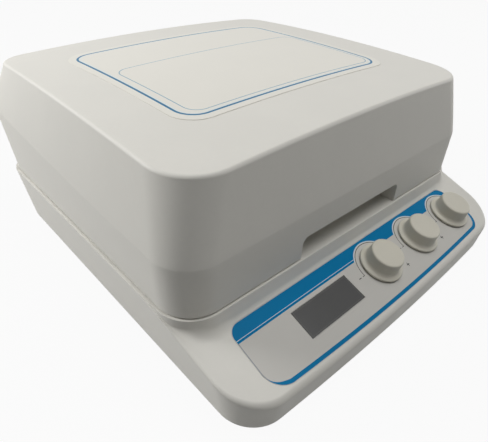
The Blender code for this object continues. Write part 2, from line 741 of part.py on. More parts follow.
BOTTOM_HALF = BASE_WIDTH / 2 - WALL_LEAN * (SHOULDER_Z - STAND_OFF)
BOTTOM_FRONT = LID_FRONT - PANEL_REACH + FRONT_BOW
BOTTOM_BACK = BASE_BACK - WALL_LEAN * (SHOULDER_Z - STAND_OFF)
SCREW_POINTS = corner_points(
    BOTTOM_HALF - WALL - SCREW_INSET,
    BOTTOM_FRONT + BASE_CORNER_FRONT + SCREW_INSET,
    BOTTOM_BACK - WALL - SCREW_INSET,
)
FOOT_POINTS = corner_points(
    BOTTOM_HALF - FOOT_INSET, BOTTOM_FRONT + FOOT_INSET, BOTTOM_BACK - FOOT_INSET
)
IDLER_POINTS = corner_points(
    TRAY_WIDTH / 2 - IDLER_INSET_X,
    TRAY_Y - TRAY_DEPTH / 2 + IDLER_INSET_Y,
    TRAY_Y + TRAY_DEPTH / 2 - IDLER_INSET_Y,
)
LID_SCREW_POINTS = corner_points(
    WARMER_WIDTH / 2 - SCREW_INSET,
    TOP_MIDDLE - WARMER_DEPTH / 2 + SCREW_INSET,
    TOP_MIDDLE + WARMER_DEPTH / 2 - SCREW_INSET,
)
OVERLAY_HALF = half_outline(
    OVERLAY_WIDTH / 2,
    OVERLAY_BOW - OVERLAY_LENGTH,
    0.0,
    OVERLAY_CORNER_FRONT,
    OVERLAY_CORNER_BACK,
    bow=OVERLAY_BOW,
)


def at_each(points, shape):
    return combined(*(shifted(shape, x, y) for x, y in points))


def panel_holes(window_grow, low, high):
    """Cut-outs for the display and the encoders' bushes, in the panel's frame."""
    grow = 2 * window_grow
    window = block(DISPLAY_WIDTH + grow, DISPLAY_DEPTH + grow, low, high)
    hole = cylinder(BUSH_R + GAP, low, high, SMALL_STEPS)
    bushes = at_each([(x, -KNOB_DOWN) for x in KNOB_XS], hole)
    return combined(shifted(window, DISPLAY_X, -DISPLAY_DOWN), bushes)


def screw(length):
    """A pan-head screw about Z with its seat at height 0, the shank upwards."""
    return revolve(
        [
            (0.0, -SCREW_HEAD),
            (SCREW_HEAD_R - SCREW_ROUND, -SCREW_HEAD),
            (SCREW_HEAD_R, SCREW_ROUND - SCREW_HEAD),
            (SCREW_HEAD_R, 0.0),
            (SCREW_R, 0.0),
            (SCREW_R, length - SCREW_R),
            (0.0, length),
        ],
        SMALL_STEPS,
    )


def make_base():
    base = solid("base_housing", loft(housing_rings(0.0, 0.0, STAND_OFF, HOUSING_EDGE)), "shell")
    fuse(base, "plinth", loft(plinth_rings()))
    hollow = cut(base, "housing_hollow", loft(housing_rings(WALL, WALL, 0.0, GAP, 1)))
    boss = cylinder(BOSS_R, SHEET_TOP + GAP, DECK_Z, SMALL_STEPS)
    cut(hollow, "screw_bosses", at_each(SCREW_POINTS, boss))
    pilot = cylinder(SCREW_R + GAP, 0.0, SHEET_TOP + SCREW_LENGTH, SMALL_STEPS)
    cut(base, "screw_pilots", at_each(SCREW_POINTS, pilot))
    recess = flat_loft(OVERLAY_HALF, -OVERLAY_RECESS, 2 * WALL, GAP)
    cut(base, "overlay_recess", recess, PANEL)
    openings = panel_holes(-DISPLAY_LEDGE, -3 * WALL, WALL)
    cut(base, "panel_openings", openings, PANEL)
    deck_low = DECK_UNDER - WALL
    deck_high = DECK_Z + WALL
    bores = combined(
        shifted(cylinder(BEARING_R + GAP, deck_low, deck_high), 0.0, TRAY_Y),
        at_each(IDLER_POINTS, cylinder(IDLER_BUSH_R + GAP, deck_low, deck_high, SMALL_STEPS)),
    )
    cut(base, "deck_bores", bores)
    inlet_hole = block(INLET_WIDTH + 2 * GAP, INLET_HEIGHT + 2 * GAP, -3 * WALL, WALL)
    switch_hole = block(SWITCH_WIDTH + 2 * GAP, SWITCH_HEIGHT + 2 * GAP, -3 * WALL, WALL)
    rear_holes = combined(shifted(inlet_hole, -INLET_X), shifted(switch_hole, -SWITCH_X))
    cut(base, "rear_openings", rear_holes, REAR)


def make_bottom():
    inside = WALL + GAP
    rings = [housing_rings(inside, 0.0, z, HOUSING_EDGE)[0] for z in (STAND_OFF, SHEET_TOP)]
    plate = solid("bottom_plate", loft(rings), "steel")
    slot = block(VENT_WIDTH, VENT_LENGTH, 0.0, 2 * SHEET_TOP, VENT_CORNER)
    first = -(VENT_COUNT - 1) / 2
    slots = [shifted(slot, (first + i) * VENT_PITCH, TRAY_Y) for i in range(VENT_COUNT)]
    holes = combined(
        at_each(SCREW_POINTS, cylinder(SCREW_R + GAP, 0.0, 2 * SHEET_TOP, SMALL_STEPS)),
        at_each(FOOT_POINTS, cylinder(FOOT_STEM_R + GAP, 0.0, 2 * SHEET_TOP, SMALL_STEPS)),
        *slots,
    )
    cut(plate, "plate_holes", holes)
    for i, (x, y) in enumerate(SCREW_POINTS, 1):
        frame = Matrix.Translation((x, y, STAND_OFF - GAP))
        solid(f"bottom_screw_{i}", screw(SCREW_LENGTH), "steel", frame)
    foot = revolve(
        [
            (0.0, 0.0),
            (FOOT_R - FOOT_EDGE, 0.0),
            (FOOT_R, FOOT_EDGE),
            (FOOT_R - FOOT_TAPER, STAND_OFF - GAP),
            (FOOT_STEM_R, STAND_OFF - GAP),
            (FOOT_STEM_R, SHEET_TOP),
            (FOOT_STEM_R - FOOT_TAPER, SHEET_TOP + FOOT_BARB),
            (0.0, SHEET_TOP + FOOT_BARB),
        ],
        SMALL_STEPS,
    )
    for i, (x, y) in enumerate(FOOT_POINTS, 1):
        solid(f"foot_{i}", foot, "rubber", Matrix.Translation((x, y, 0.0)))


def make_panel():
    high = OVERLAY_LOW + FILM
    film = flat_loft(OVERLAY_HALF, OVERLAY_LOW, high)
    overlay = solid("control_overlay", film, "overlay", PANEL)
    cut(overlay, "overlay_openings", panel_holes(GAP, OVERLAY_LOW - FILM, high + FILM), PANEL)
    place = on_panel(DISPLAY_X, DISPLAY_DOWN)
    window = block(DISPLAY_WIDTH, DISPLAY_DEPTH, OVERLAY_LOW, high)
    solid("display_window", window, "window", place)
    case = block(
        DISPLAY_WIDTH + 2 * DISPLAY_FRAME, DISPLAY_DEPTH + 2 * DISPLAY_FRAME,
        BOARD_TOP + GAP, PANEL_UNDER,
    )
    module = solid("display_module", case, "black", place)
    through = 2 * (DISPLAY_LEDGE + GAP)
    glass = block(
        DISPLAY_WIDTH - through, DISPLAY_DEPTH - through, PANEL_UNDER - WALL, OVERLAY_LOW - GAP
    )
    fuse(module, "display_glass", glass, place)

    left = DISPLAY_X - DISPLAY_WIDTH / 2 - BOARD_MARGIN
    right = KNOB_XS[-1] + ENCODER_SIDE / 2 + BOARD_MARGIN
    board_place = on_panel((left + right) / 2, KNOB_DOWN)
    board_low = BOARD_TOP - BOARD_THICK
    sheet = block(right - left, BOARD_DEPTH, board_low, BOARD_TOP, BOARD_CORNER)
    board = solid("control_board", sheet, "board", board_place)
    middle = board_low + BOARD_THICK / 2
    chip = block(CHIP_SIDE, CHIP_SIDE, board_low - CHIP_THICK, middle)
    plug = block(PLUG_LENGTH, PLUG_WIDTH, board_low - PLUG_HEIGHT, middle)
    fitted = combined(shifted(chip, -CHIP_LEFT), shifted(plug, PLUG_RIGHT, PLUG_UP))
    fuse(board, "board_parts", fitted, board_place)
    for i, x in enumerate(KNOB_XS, 1):
        make_knob(i, x)


def make_knob(number, x):
    """A skirted knob on the shaft of an encoder that hangs under the panel."""
    place = on_panel(x, KNOB_DOWN)
    axis = axis_empty(f"knob_axis_{number}", place)
    foot = PANEL_UNDER - ENCODER_HEIGHT
    bore = SHAFT_R + GAP
    case = block(ENCODER_SIDE, ENCODER_SIDE, foot, PANEL_UNDER, ENCODER_CORNER)
    encoder = solid(f"encoder_{number}", case, "steel", place)
    bush = cylinder(BUSH_R, PANEL_UNDER - WALL, BUSH_PROUD, SMALL_STEPS)
    fuse(encoder, f"encoder_bush_{number}", bush, place)
    hole = cylinder(bore, foot + ENCODER_FLOOR, 2 * BUSH_PROUD, SMALL_STEPS)
    cut(encoder, f"encoder_bore_{number}", hole, place)

    step = KNOB_LIFT + KNOB_FLANGE_THICK
    top = KNOB_LIFT + KNOB_HEIGHT
    socket = top - KNOB_CROWN
    cap = KNOB_FLANGE_R - KNOB_STEP
    profile = eased(
        [
            (0.0, socket, 0.0),
            (bore, socket, 0.0),
            (bore, KNOB_LIFT, 0.0),
            (KNOB_FLANGE_R, KNOB_LIFT, KNOB_ROUND),
            (KNOB_FLANGE_R, step, KNOB_ROUND),
            (cap + KNOB_DRAFT, step, KNOB_ROUND),
            (cap, top, KNOB_TOP_ROUND),
            (0.0, top, 0.0),
        ]
    )
    solid(f"knob_{number}", revolve(profile), "knob", place, axis)
    shaft = cylinder(SHAFT_R, foot + ENCODER_FLOOR + GAP, socket - GAP, SMALL_STEPS)
    solid(f"knob_shaft_{number}", shaft, "brass", place, axis)


def make_lid():
    axis = axis_empty("lid_hinge_axis", Matrix.Translation((0, HINGE_Y, HINGE_Z)))
    lid = solid("lid_shell", loft(lid_rings(0.0, 0.0, SEAM_Z, True)), "shell", parent=axis)
    hollow = cut(lid, "lid_hollow", loft(lid_rings(WALL, WALL, SEAM_Z - WALL, False)))
    # XZ outline of the finger notch, stood up and run back from ahead of the front wall
    front = LID_FRONT - WALL - CREASE_FRONT
    upright = Matrix.Translation((0, front, SEAM_Z)) @ Matrix.Rotation(math.pi / 2, 4, "X")
    reach = front - LID_FRONT - NOTCH_DEPTH
    pocket = block(
        NOTCH_WIDTH + 2 * WALL, 2 * (NOTCH_HEIGHT + WALL), reach - WALL, 0.0, NOTCH_CORNER + WALL
    )
    cut(hollow, "finger_pocket", pocket, upright)
    plate_low = LID_TOP_Z - WARMER_DROP
    plate_high = plate_low + WARMER_THICK
    boss = cylinder(BOSS_R, plate_high + GAP, LID_TOP_Z, SMALL_STEPS)
    cut(hollow, "lid_bosses", at_each(LID_SCREW_POINTS, boss))
    notch = block(NOTCH_WIDTH, 2 * NOTCH_HEIGHT, reach, WALL, NOTCH_CORNER)
    cut(lid, "finger_notch", notch, upright)
    length = WARMER_DROP - WALL - CROWN_SIDE
    hole = cylinder(SCREW_R + GAP, plate_low - GAP, plate_low + length, SMALL_STEPS)
    cut(lid, "lid_pilots", at_each(LID_SCREW_POINTS, hole))

    sheet = block(WARMER_WIDTH, WARMER_DEPTH, plate_low, plate_high, WARMER_CORNER)
    warmer = shifted(sheet, y=TOP_MIDDLE)
    plate = solid("lid_heater_plate", warmer, "aluminium", parent=axis)
    cut(plate, "lid_plate_holes", at_each(LID_SCREW_POINTS, hole))
    for i, (x, y) in enumerate(LID_SCREW_POINTS, 1):
        frame = Matrix.Translation((x, y, plate_low - GAP))
        solid(f"lid_screw_{i}", screw(length), "steel", frame, axis)
    make_label(axis)
    for i, x in enumerate((-HINGE_X, HINGE_X), 1):
        make_hinge(i, x, axis)


def make_label(axis):
    """A film that follows the lid's crown."""
    half_width = TOP_HALF - LABEL_IN_SIDE
    front = TOP_FRONT + LABEL_IN_FRONT
    back = TOP_BACK - LABEL_IN_BACK
    middle = (front + back) / 2
    stations = side_stations(front + LABEL_CORNER, back - LABEL_CORNER)
    half = half_outline(half_width, front, back, LABEL_CORNER, LABEL_CORNER, stations)

    def ring(share, rise):
        def place(x, y, nx, ny):
            x, y = x * share, mixed(middle, y, share)
            return x, y, crown_height(x, y) + rise

        return mirrored_ring(half, place)

    shares = (0.15, 0.6, 1.0)
    rings = [ring(share, GAP) for share in shares]
    rings += [ring(share, GAP + FILM) for share in reversed(shares)]
    solid("lid_label", loft(rings), "label", parent=axis)


def across(outline, low, high):
    """A YZ outline, either way round, run along X from low to high."""
    ends = zip(outline, outline[1:] + outline[:1])
    turned = sum(a[0] * b[1] - b[0] * a[1] for a, b in ends) < 0
    return moved(prism(outline[::-1] if turned else outline, low, high), ALONG_X)


def rod(radius, low, high):
    return moved(cylinder(radius, low, high, SMALL_STEPS), ALONG_X)


def hinge_outlines(foot, along, outward):
    """YZ outlines of a hinge's leaf and of the web from the leaf's foot to the barrel."""
    tip = foot + along * LEAF_LENGTH
    leaf = [foot, tip, tip + outward * LEAF_THICK, foot + outward * LEAF_THICK]
    web = [foot, foot + along * 2 * BARREL_R, along * (BARREL_R - GAP), along * -BARREL_R / 2]
    return leaf, web


def make_hinge(number, x, axis):
    """A leaf on the lid and a bracket on the base, their barrels on one pin."""
    place = Matrix.Translation((x, HINGE_Y, HINGE_Z))
    half = HINGE_WIDTH / 2
    inner = HINGE_WIDTH / 6
    bore = rod(PIN_R + GAP, -HINGE_WIDTH, HINGE_WIDTH)

    up = Vector((CREASE_REAR, CREASE_UP_REAR)).normalized()
    out = Vector((up.y, -up.x))
    foot = Vector((-HINGE_BEHIND, GAP - HINGE_UP)) + out * GAP + up * LEAF_UP
    plate, web = hinge_outlines(foot, up, out)
    leaf = solid(f"hinge_leaf_{number}", across(plate, -half, half), "steel", place, axis)
    webs = combined(across(web, -half, -inner - GAP), across(web, inner + GAP, half))
    fuse(leaf, f"leaf_webs_{number}", webs, place)
    barrels = combined(rod(BARREL_R, -half, -inner - GAP), rod(BARREL_R, inner + GAP, half))
    fuse(leaf, f"leaf_barrels_{number}", barrels, place)
    cut(leaf, f"leaf_bore_{number}", bore, place)

    down = Vector((-WALL_LEAN, -1.0)).normalized()
    out = Vector((-down.y, down.x))
    behind = BASE_BEHIND_LID - HINGE_BEHIND - WALL_LEAN * HOUSING_EDGE
    foot = Vector((behind, -HINGE_UP - PLINTH_STEP - HOUSING_EDGE)) + out * GAP
    plate, web = hinge_outlines(foot, down, out)
    bracket = solid(f"hinge_bracket_{number}", across(plate, -half, half), "steel", place)
    fuse(bracket, f"bracket_web_{number}", across(web, -inner, inner), place)
    fuse(bracket, f"bracket_barrel_{number}", rod(BARREL_R, -inner, inner), place)
    cut(bracket, f"bracket_bore_{number}", bore, place)
    solid(f"hinge_pin_{number}", rod(PIN_R, -half, half), "steel", place)


def make_tray():
    """Four plate bays on bosses that ride the drive's pin and the idlers' pins."""
    axis = axis_empty("tray_axis", Matrix.Translation((ORBIT, TRAY_Y, TRAY_Z)))
    place = Matrix.Translation((ORBIT, TRAY_Y, 0.0))
    rim = TRAY_TOP + TRAY_RIM
    over = rim + TRAY_RIM
    body = block(TRAY_WIDTH, TRAY_DEPTH, TRAY_Z, rim, TRAY_CORNER)
    tray = solid("plate_tray", body, "aluminium", place, axis)
    bay_width = PLATE_LENGTH + BAY_CLEAR
    bay_depth = PLATE_WIDTH + BAY_CLEAR
    bay_x = (bay_width + TRAY_RIB) / 2
    bay_y = (bay_depth + TRAY_RIB) / 2
    bay = block(bay_width, bay_depth, TRAY_TOP, over, BAY_CORNER)
    cut(tray, "plate_bays", at_each(corner_points(bay_x, -bay_y, bay_y), bay), place)
    grip = block(GRIP_WIDTH, 4 * TRAY_RIB, TRAY_TOP + GRIP_SILL, over)
    edge = TRAY_DEPTH / 2
    grips = [(x, y) for x in (-bay_x, bay_x) for y in (-edge, 0.0, edge)]
    cut(tray, "grip_gaps", at_each(grips, grip), place)
    spots = [(x, y - TRAY_Y) for x, y in IDLER_POINTS]
    low = TRAY_Z - TRAY_BOSS_DROP
    boss = cylinder(TRAY_BOSS_R, low, TRAY_Z + TRAY_FLOOR / 2, SMALL_STEPS)
    fuse(tray, "tray_bosses", at_each([(0.0, 0.0), *spots], boss), place)
    bores = combined(
        cylinder(SPINDLE_PIN_R + GAP, low - WALL, PIN_TOP + GAP, SMALL_STEPS),
        at_each(spots, cylinder(IDLER_R + GAP, low - WALL, PIN_TOP + GAP, SMALL_STEPS)),
    )
    cut(tray, "tray_bores", bores, place)

    high = TRAY_Z - GAP
    pad_width = TRAY_WIDTH - 2 * HEATER_MARGIN
    pad_depth = TRAY_DEPTH - 2 * HEATER_MARGIN
    sheet = block(pad_width, pad_depth, high - HEATER_THICK, high, HEATER_CORNER)
    pad = solid("heater_pad", sheet, "silicone", place, axis)
    clear = cylinder(TRAY_BOSS_R + GAP, low, TRAY_Z, SMALL_STEPS)
    cut(pad, "pad_holes", at_each([(0.0, 0.0), *spots], clear), place)


def flanged_bush(radius, bore):
    """A bush about Z whose flange rests on the deck."""
    low = DECK_UNDER - BUSH_BELOW_DECK
    seat = DECK_Z + GAP
    return tube(
        [
            (bore, low),
            (radius, low),
            (radius, seat),
            (radius + BUSH_LIP, seat),
            (radius + BUSH_LIP, seat + BUSH_FLANGE),
            (bore, seat + BUSH_FLANGE),
        ],
        SMALL_STEPS,
    )


def make_drive():
    centre = Matrix.Translation((0.0, TRAY_Y, 0.0))
    axis = axis_empty("drive_axis", Matrix.Translation((0.0, TRAY_Y, DECK_Z)))
    bore = SPINDLE_R + GAP
    solid("spindle_bearing", flanged_bush(BEARING_R, bore), "steel", centre)

    side = 2 * MOTOR_R + 4 * BRACKET_LEG_R
    plate = block(side, side, BRACKET_LOW, BRACKET_TOP, BRACKET_LEG_R)
    bracket = solid("motor_bracket", plate, "steel", centre)
    at = side / 2 - BRACKET_LEG_R - BRACKET_EDGE
    leg = cylinder(BRACKET_LEG_R, BRACKET_LOW + BRACKET_THICK / 2, DECK_UNDER - GAP, SMALL_STEPS)
    fuse(bracket, "bracket_legs", at_each(corner_points(at, -at, at), leg), centre)
    opening = cylinder(bore + BRACKET_BORE_CLEAR, MOTOR_TOP, DECK_UNDER, SMALL_STEPS)
    cut(bracket, "bracket_opening", opening, centre)

    shaft_low = (MOTOR_LOW + MOTOR_TOP) / 2
    cap = MOTOR_TOP - MOTOR_CAP
    motor = revolve(
        [
            (0.0, MOTOR_LOW),
            (MOTOR_R - MOTOR_EDGE, MOTOR_LOW),
            (MOTOR_R, MOTOR_LOW + MOTOR_EDGE),
            (MOTOR_R, cap - MOTOR_GROOVE),
            (MOTOR_R - MOTOR_GROOVE, cap - MOTOR_GROOVE),
            (MOTOR_R - MOTOR_GROOVE, cap),
            (MOTOR_R, cap),
            (MOTOR_R, MOTOR_TOP),
            (bore, MOTOR_TOP),
            (bore, shaft_low - GAP),
            (0.0, shaft_low - GAP),
        ]
    )
    solid("drive_motor", motor, "black", centre)

    middle = (CRANK_Z + CRANK_TOP) / 2
    spindle = cylinder(SPINDLE_R, shaft_low, middle, SMALL_STEPS)
    eccentric = solid("drive_eccentric", spindle, "steel", centre, axis)
    # The counterweight is a half disc on the side away from the pin
    turns = [math.pi * (0.5 + i / SMALL_STEPS) for i in range(SMALL_STEPS + 1)]
    outline = [(COUNTERWEIGHT_R * math.cos(a), COUNTERWEIGHT_R * math.sin(a)) for a in turns]
    nose = SPINDLE_PIN_R + 2 * ORBIT
    outline += [(nose, -COUNTERWEIGHT_NOSE / 2), (nose, COUNTERWEIGHT_NOSE / 2)]
    fuse(eccentric, "counterweight", prism(outline, CRANK_Z, CRANK_TOP), centre)
    pin = shifted(cylinder(SPINDLE_PIN_R, middle, PIN_TOP, SMALL_STEPS), ORBIT)
    fuse(eccentric, "spindle_pin", pin, centre)

    bush = flanged_bush(IDLER_BUSH_R, IDLER_R + GAP)
    crank_r = ORBIT + IDLER_R + IDLER_CRANK_EDGE
    crank = revolve(
        [
            (0.0, DECK_UNDER - BUSH_BELOW_DECK),
            (IDLER_R, DECK_UNDER - BUSH_BELOW_DECK),
            (IDLER_R, CRANK_Z),
            (crank_r, CRANK_Z),
            (crank_r, CRANK_TOP),
            (0.0, CRANK_TOP),
        ],
        SMALL_STEPS,
    )
    peg = shifted(cylinder(IDLER_R, middle, PIN_TOP, SMALL_STEPS), ORBIT)
    for i, (x, y) in enumerate(IDLER_POINTS, 1):
        place = Matrix.Translation((x, y, 0.0))
        idler_axis = axis_empty(f"idler_axis_{i}", Matrix.Translation((x, y, DECK_Z)))
        solid(f"idler_bush_{i}", bush, "brass", place)
        idler = solid(f"idler_{i}", crank, "steel", place, idler_axis)
        fuse(idler, f"idler_pin_{i}", peg, place)


def make_supply():
    """Supply board on legs over the closing sheet."""
    x = -SUPPLY_ASIDE - SUPPLY_WIDTH / 2
    y = BOTTOM_BACK - WALL - SUPPLY_BEHIND - SUPPLY_DEPTH / 2
    place = Matrix.Translation((x, y, 0.0))
    low = SHEET_TOP + GAP + SUPPLY_LEG
    high = low + BOARD_THICK
    sunk = BOARD_THICK / 3
    sheet = block(SUPPLY_WIDTH, SUPPLY_DEPTH, low, high, BOARD_CORNER)
    board = solid("power_board", sheet, "board", place)
    half_x = SUPPLY_WIDTH / 2 - 2 * SUPPLY_LEG_R
    half_y = SUPPLY_DEPTH / 2 - 2 * SUPPLY_LEG_R
    leg = cylinder(SUPPLY_LEG_R, SHEET_TOP + GAP, low + sunk, SMALL_STEPS)
    fuse(board, "board_legs", at_each(corner_points(half_x, -half_y, half_y), leg), place)
    coil = block(COIL_WIDTH, COIL_DEPTH, high - sunk, high + COIL_HEIGHT, BOARD_CORNER)
    can = cylinder(CAN_R, high - sunk, high + CAN_HEIGHT, SMALL_STEPS)
    fin = block(FIN_WIDTH, FIN_THICK, high - sunk, high + FIN_HEIGHT)
    fitted = combined(
        shifted(coil, COIL_WIDTH / 2 - half_x),
        shifted(can, CAN_R, half_y - CAN_R),
        shifted(fin, half_x - FIN_WIDTH / 2, FIN_THICK - half_y),
    )
    fuse(board, "board_fittings", fitted, place)


def rear_fitting(name, width, height, deep, place):
    """A flange on the rear wall with a body that goes through it."""
    lip = 2 * FLANGE_LIP
    flange = block(width + lip, height + lip, GAP, FLANGE_TOP, FLANGE_CORNER)
    made = solid(name, flange, "black", place)
    fuse(made, f"{name}_body", block(width, height, -deep, FLANGE_TOP - FLANGE / 2), place)
    return made


def make_inlet():
    place = REAR @ Matrix.Translation((-INLET_X, 0.0, 0.0))
    inlet = rear_fitting("power_inlet", INLET_WIDTH, INLET_HEIGHT, INLET_DEEP, place)
    w, h = SOCKET_WIDTH / 2, SOCKET_HEIGHT / 2
    mouth = [(-w, h - SOCKET_BEVEL), (-w, -h), (w, -h), (w, h - SOCKET_BEVEL)]
    mouth += [(w - SOCKET_BEVEL, h), (SOCKET_BEVEL - w, h)]
    floor = FLANGE_TOP - SOCKET_DEEP
    cut(inlet, "inlet_socket", prism(mouth, floor, 2 * FLANGE_TOP), place)
    blade = block(BLADE_WIDTH, BLADE_HEIGHT, floor - WALL, FLANGE_TOP - BLADE_SHORT)
    spots = [(i * BLADE_PITCH, BLADE_RISE * (1 - 2 * abs(i))) for i in (-1, 0, 1)]
    fuse(inlet, "inlet_blades", at_each(spots, blade), place)


def make_switch():
    place = REAR @ Matrix.Translation((-SWITCH_X, 0.0, 0.0))
    frame = rear_fitting("switch_frame", SWITCH_WIDTH, SWITCH_HEIGHT, SWITCH_DEEP, place)
    well = block(WELL_WIDTH, WELL_HEIGHT, -SWITCH_WELL, 2 * FLANGE_TOP)
    cut(frame, "switch_well", well, place)
    half = ROCKER_HEIGHT / 2
    keel = half - ROCKER_KEEL_IN
    profile = [
        (-keel, -ROCKER_KEEL),
        (keel, -ROCKER_KEEL),
        (half, -ROCKER_PIVOT),
        (half, ROCKER_TIP),
        (0.0, ROCKER_TIP - ROCKER_DIP),
        (-half, ROCKER_TIP),
        (-half, -ROCKER_PIVOT),
    ]
    pivot = place @ Matrix.Translation((0, 0, -ROCKER_PIVOT))
    axis = axis_empty("rocker_axis", pivot)
    tilted = pivot @ Matrix.Rotation(ROCKER_TILT, 4, "X")
    rocker = across(profile, -ROCKER_WIDTH / 2, ROCKER_WIDTH / 2)
    solid("power_rocker", rocker, "black", tilted, axis)


make_base()
make_bottom()
make_panel()
make_lid()
make_tray()
make_drive()
make_supply()
make_inlet()
make_switch()
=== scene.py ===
import json
import math

import bmesh
import bpy
from mathutils import Matrix, Vector

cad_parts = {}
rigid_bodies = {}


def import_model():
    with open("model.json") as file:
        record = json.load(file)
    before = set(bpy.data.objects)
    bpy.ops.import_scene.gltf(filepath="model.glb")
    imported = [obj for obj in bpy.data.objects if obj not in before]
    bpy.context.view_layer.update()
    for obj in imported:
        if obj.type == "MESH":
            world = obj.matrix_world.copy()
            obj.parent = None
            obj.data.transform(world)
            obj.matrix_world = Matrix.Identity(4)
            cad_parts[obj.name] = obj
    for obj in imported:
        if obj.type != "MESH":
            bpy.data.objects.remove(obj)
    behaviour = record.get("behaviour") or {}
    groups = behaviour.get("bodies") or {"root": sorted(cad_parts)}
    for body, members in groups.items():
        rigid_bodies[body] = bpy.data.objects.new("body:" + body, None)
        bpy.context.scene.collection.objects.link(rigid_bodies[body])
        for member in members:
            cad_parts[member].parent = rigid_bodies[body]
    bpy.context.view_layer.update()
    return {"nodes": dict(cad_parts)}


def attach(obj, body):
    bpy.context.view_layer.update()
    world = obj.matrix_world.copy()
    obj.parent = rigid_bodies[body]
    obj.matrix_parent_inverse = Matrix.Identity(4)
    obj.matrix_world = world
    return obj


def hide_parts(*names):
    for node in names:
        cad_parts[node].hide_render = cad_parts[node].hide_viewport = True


for leftover in list(bpy.data.objects):
    bpy.data.objects.remove(leftover)
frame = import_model()
scene = bpy.context.scene
scene.view_settings.view_transform = "Standard"
cadNodes = frame["nodes"]
mm = 0.001  # sizes below are in millimetres, and become metres in the meshes


# camera first: near, wide and a little rolled, as the product shot was taken
cameraView = {
    "place": (-254.0, -262.8, 258.1),
    "azimuth": 43.4,
    "elevation": 28.208,
    "roll": 2.132,
    "lens": 35.5,
    "shiftY": -0.123,
}


def makeCamera(view):
    a, e, r = (math.radians(view[key]) for key in ("azimuth", "elevation", "roll"))
    level = Vector((math.cos(a), -math.sin(a), 0.0))
    ahead = Vector((math.sin(a) * math.cos(e), math.cos(a) * math.cos(e), -math.sin(e)))
    above = level.cross(ahead)
    right = level * math.cos(r) + above * math.sin(r)
    up = above * math.cos(r) - level * math.sin(r)
    lens = bpy.data.cameras.new("benchCamera")
    lens.lens = view["lens"]
    lens.sensor_width = 36.0
    lens.shift_y = view["shiftY"]
    lens.clip_start = 0.01
    camera = bpy.data.objects.new("benchCamera", lens)
    turn = Matrix((right, up, -ahead)).transposed().to_4x4()
    camera.matrix_world = Matrix.Translation(Vector(view["place"]) * mm) @ turn
    scene.collection.objects.link(camera)
    scene.camera = camera


makeCamera(cameraView)
print("camera: set at the front left corner")


# shader building: a wire is a socket that can be added, multiplied and so on
class Wire:
    def __init__(self, look, socket):
        self.look = look
        self.socket = socket

    def __add__(self, other):
        return self.look.maths("ADD", self, other)

    def __sub__(self, other):
        return self.look.maths("SUBTRACT", self, other)

    def __rsub__(self, other):
        return self.look.maths("SUBTRACT", other, self)

    def __mul__(self, other):
        return self.look.maths("MULTIPLY", self, other)

    def __truediv__(self, other):
        return self.look.maths("DIVIDE", self, other)

    def __rtruediv__(self, other):
        return self.look.maths("DIVIDE", other, self)

    __radd__ = __add__
    __rmul__ = __mul__


class Look:
    def __init__(self, name, tree=None):
        self.material = None
        if tree is None:
            self.material = bpy.data.materials.new(name)
            self.material.use_nodes = True
            tree = self.material.node_tree
        self.tree = tree

    def add(self, kind, settings=None, values=None, out=0):
        node = self.tree.nodes.new(kind)
        for name, value in (settings or {}).items():
            if name == "stops":
                ramp = node.color_ramp.elements
                for i, (at, colour) in enumerate(value):
                    stop = ramp[i] if i < 2 else ramp.new(at)
                    stop.position = at
                    stop.color = (*colour, 1.0)
            else:
                setattr(node, name, value)
        for key, value in (values or {}).items():
            self.plug(node.inputs[key], value)
        return Wire(self, node.outputs[out])

    def plug(self, socket, value):
        if isinstance(value, Wire):
            self.tree.links.new(value.socket, socket)
        elif socket.type == "RGBA" and len(value) == 3:
            socket.default_value = (*value, 1.0)
        else:
            socket.default_value = value

    def maths(self, operation, *values):
        return self.add("ShaderNodeMath", {"operation": operation}, dict(enumerate(values)))

    def mix(self, share, low, high):
        return self.add("ShaderNodeMix", {"data_type": "RGBA"}, {0: share, 6: low, 7: high}, 2)

    def step(self, value, low, high):  # 0 below low, 1 above high, soft between
        settings = {"interpolation_type": "SMOOTHSTEP"}
        return self.add("ShaderNodeMapRange", settings, {0: value, 1: low, 2: high})

    def between(self, value, low, high, soft=0.08):
        return self.step(value, low - soft, low + soft) * (1 - self.step(value, high - soft, high + soft))

    def below(self, value, high, soft=0.08):
        return 1 - self.step(value, high - soft, high + soft)

    def either(self, *masks):
        found = masks[0]
        for mask in masks[1:]:
            found = self.maths("MAXIMUM", found, mask)
        return found

    def place(self):
        return self.add("ShaderNodeTexCoord", out="Object")

    def axes(self):  # object coordinates as three values in millimetres
        scaled = self.add("ShaderNodeVectorMath", {"operation": "SCALE"}, {0: self.place(), "Scale": 1000.0})
        split = self.add("ShaderNodeSeparateXYZ", None, {0: scaled})
        outs = split.socket.node.outputs
        return [Wire(self, outs[i]) for i in range(3)]

    def noise(self, sizeMm, detail=2.0, stretch=(1.0, 1.0, 1.0)):
        spread = [1.0 / (sizeMm * mm * s) for s in stretch]
        spot = self.add("ShaderNodeMapping", None, {"Vector": self.place(), "Scale": spread})
        return self.add("ShaderNodeTexNoise", None, {"Vector": spot, "Scale": 1.0, "Detail": detail})

    def bump(self, height, depthMm, strength=1.0, under=None):
        values = {"Strength": strength, "Distance": depthMm * mm, "Height": height}
        if under is not None:
            values["Normal"] = under
        return self.add("ShaderNodeBump", None, values)

    def close(self, **values):  # puts what was made on the shader's sockets
        shader = self.tree.nodes["Principled BSDF"]
        names = {
            "colour": "Base Color", "rough": "Roughness", "metal": "Metallic", "normal": "Normal",
            "coat": "Coat Weight", "coatRough": "Coat Roughness", "ior": "IOR", "glow": "Emission Color",
            "glowStrength": "Emission Strength", "alpha": "Alpha", "specular": "Specular IOR Level",
        }
        for key, value in values.items():
            self.plug(shader.inputs[names[key]], value)
        return self.material


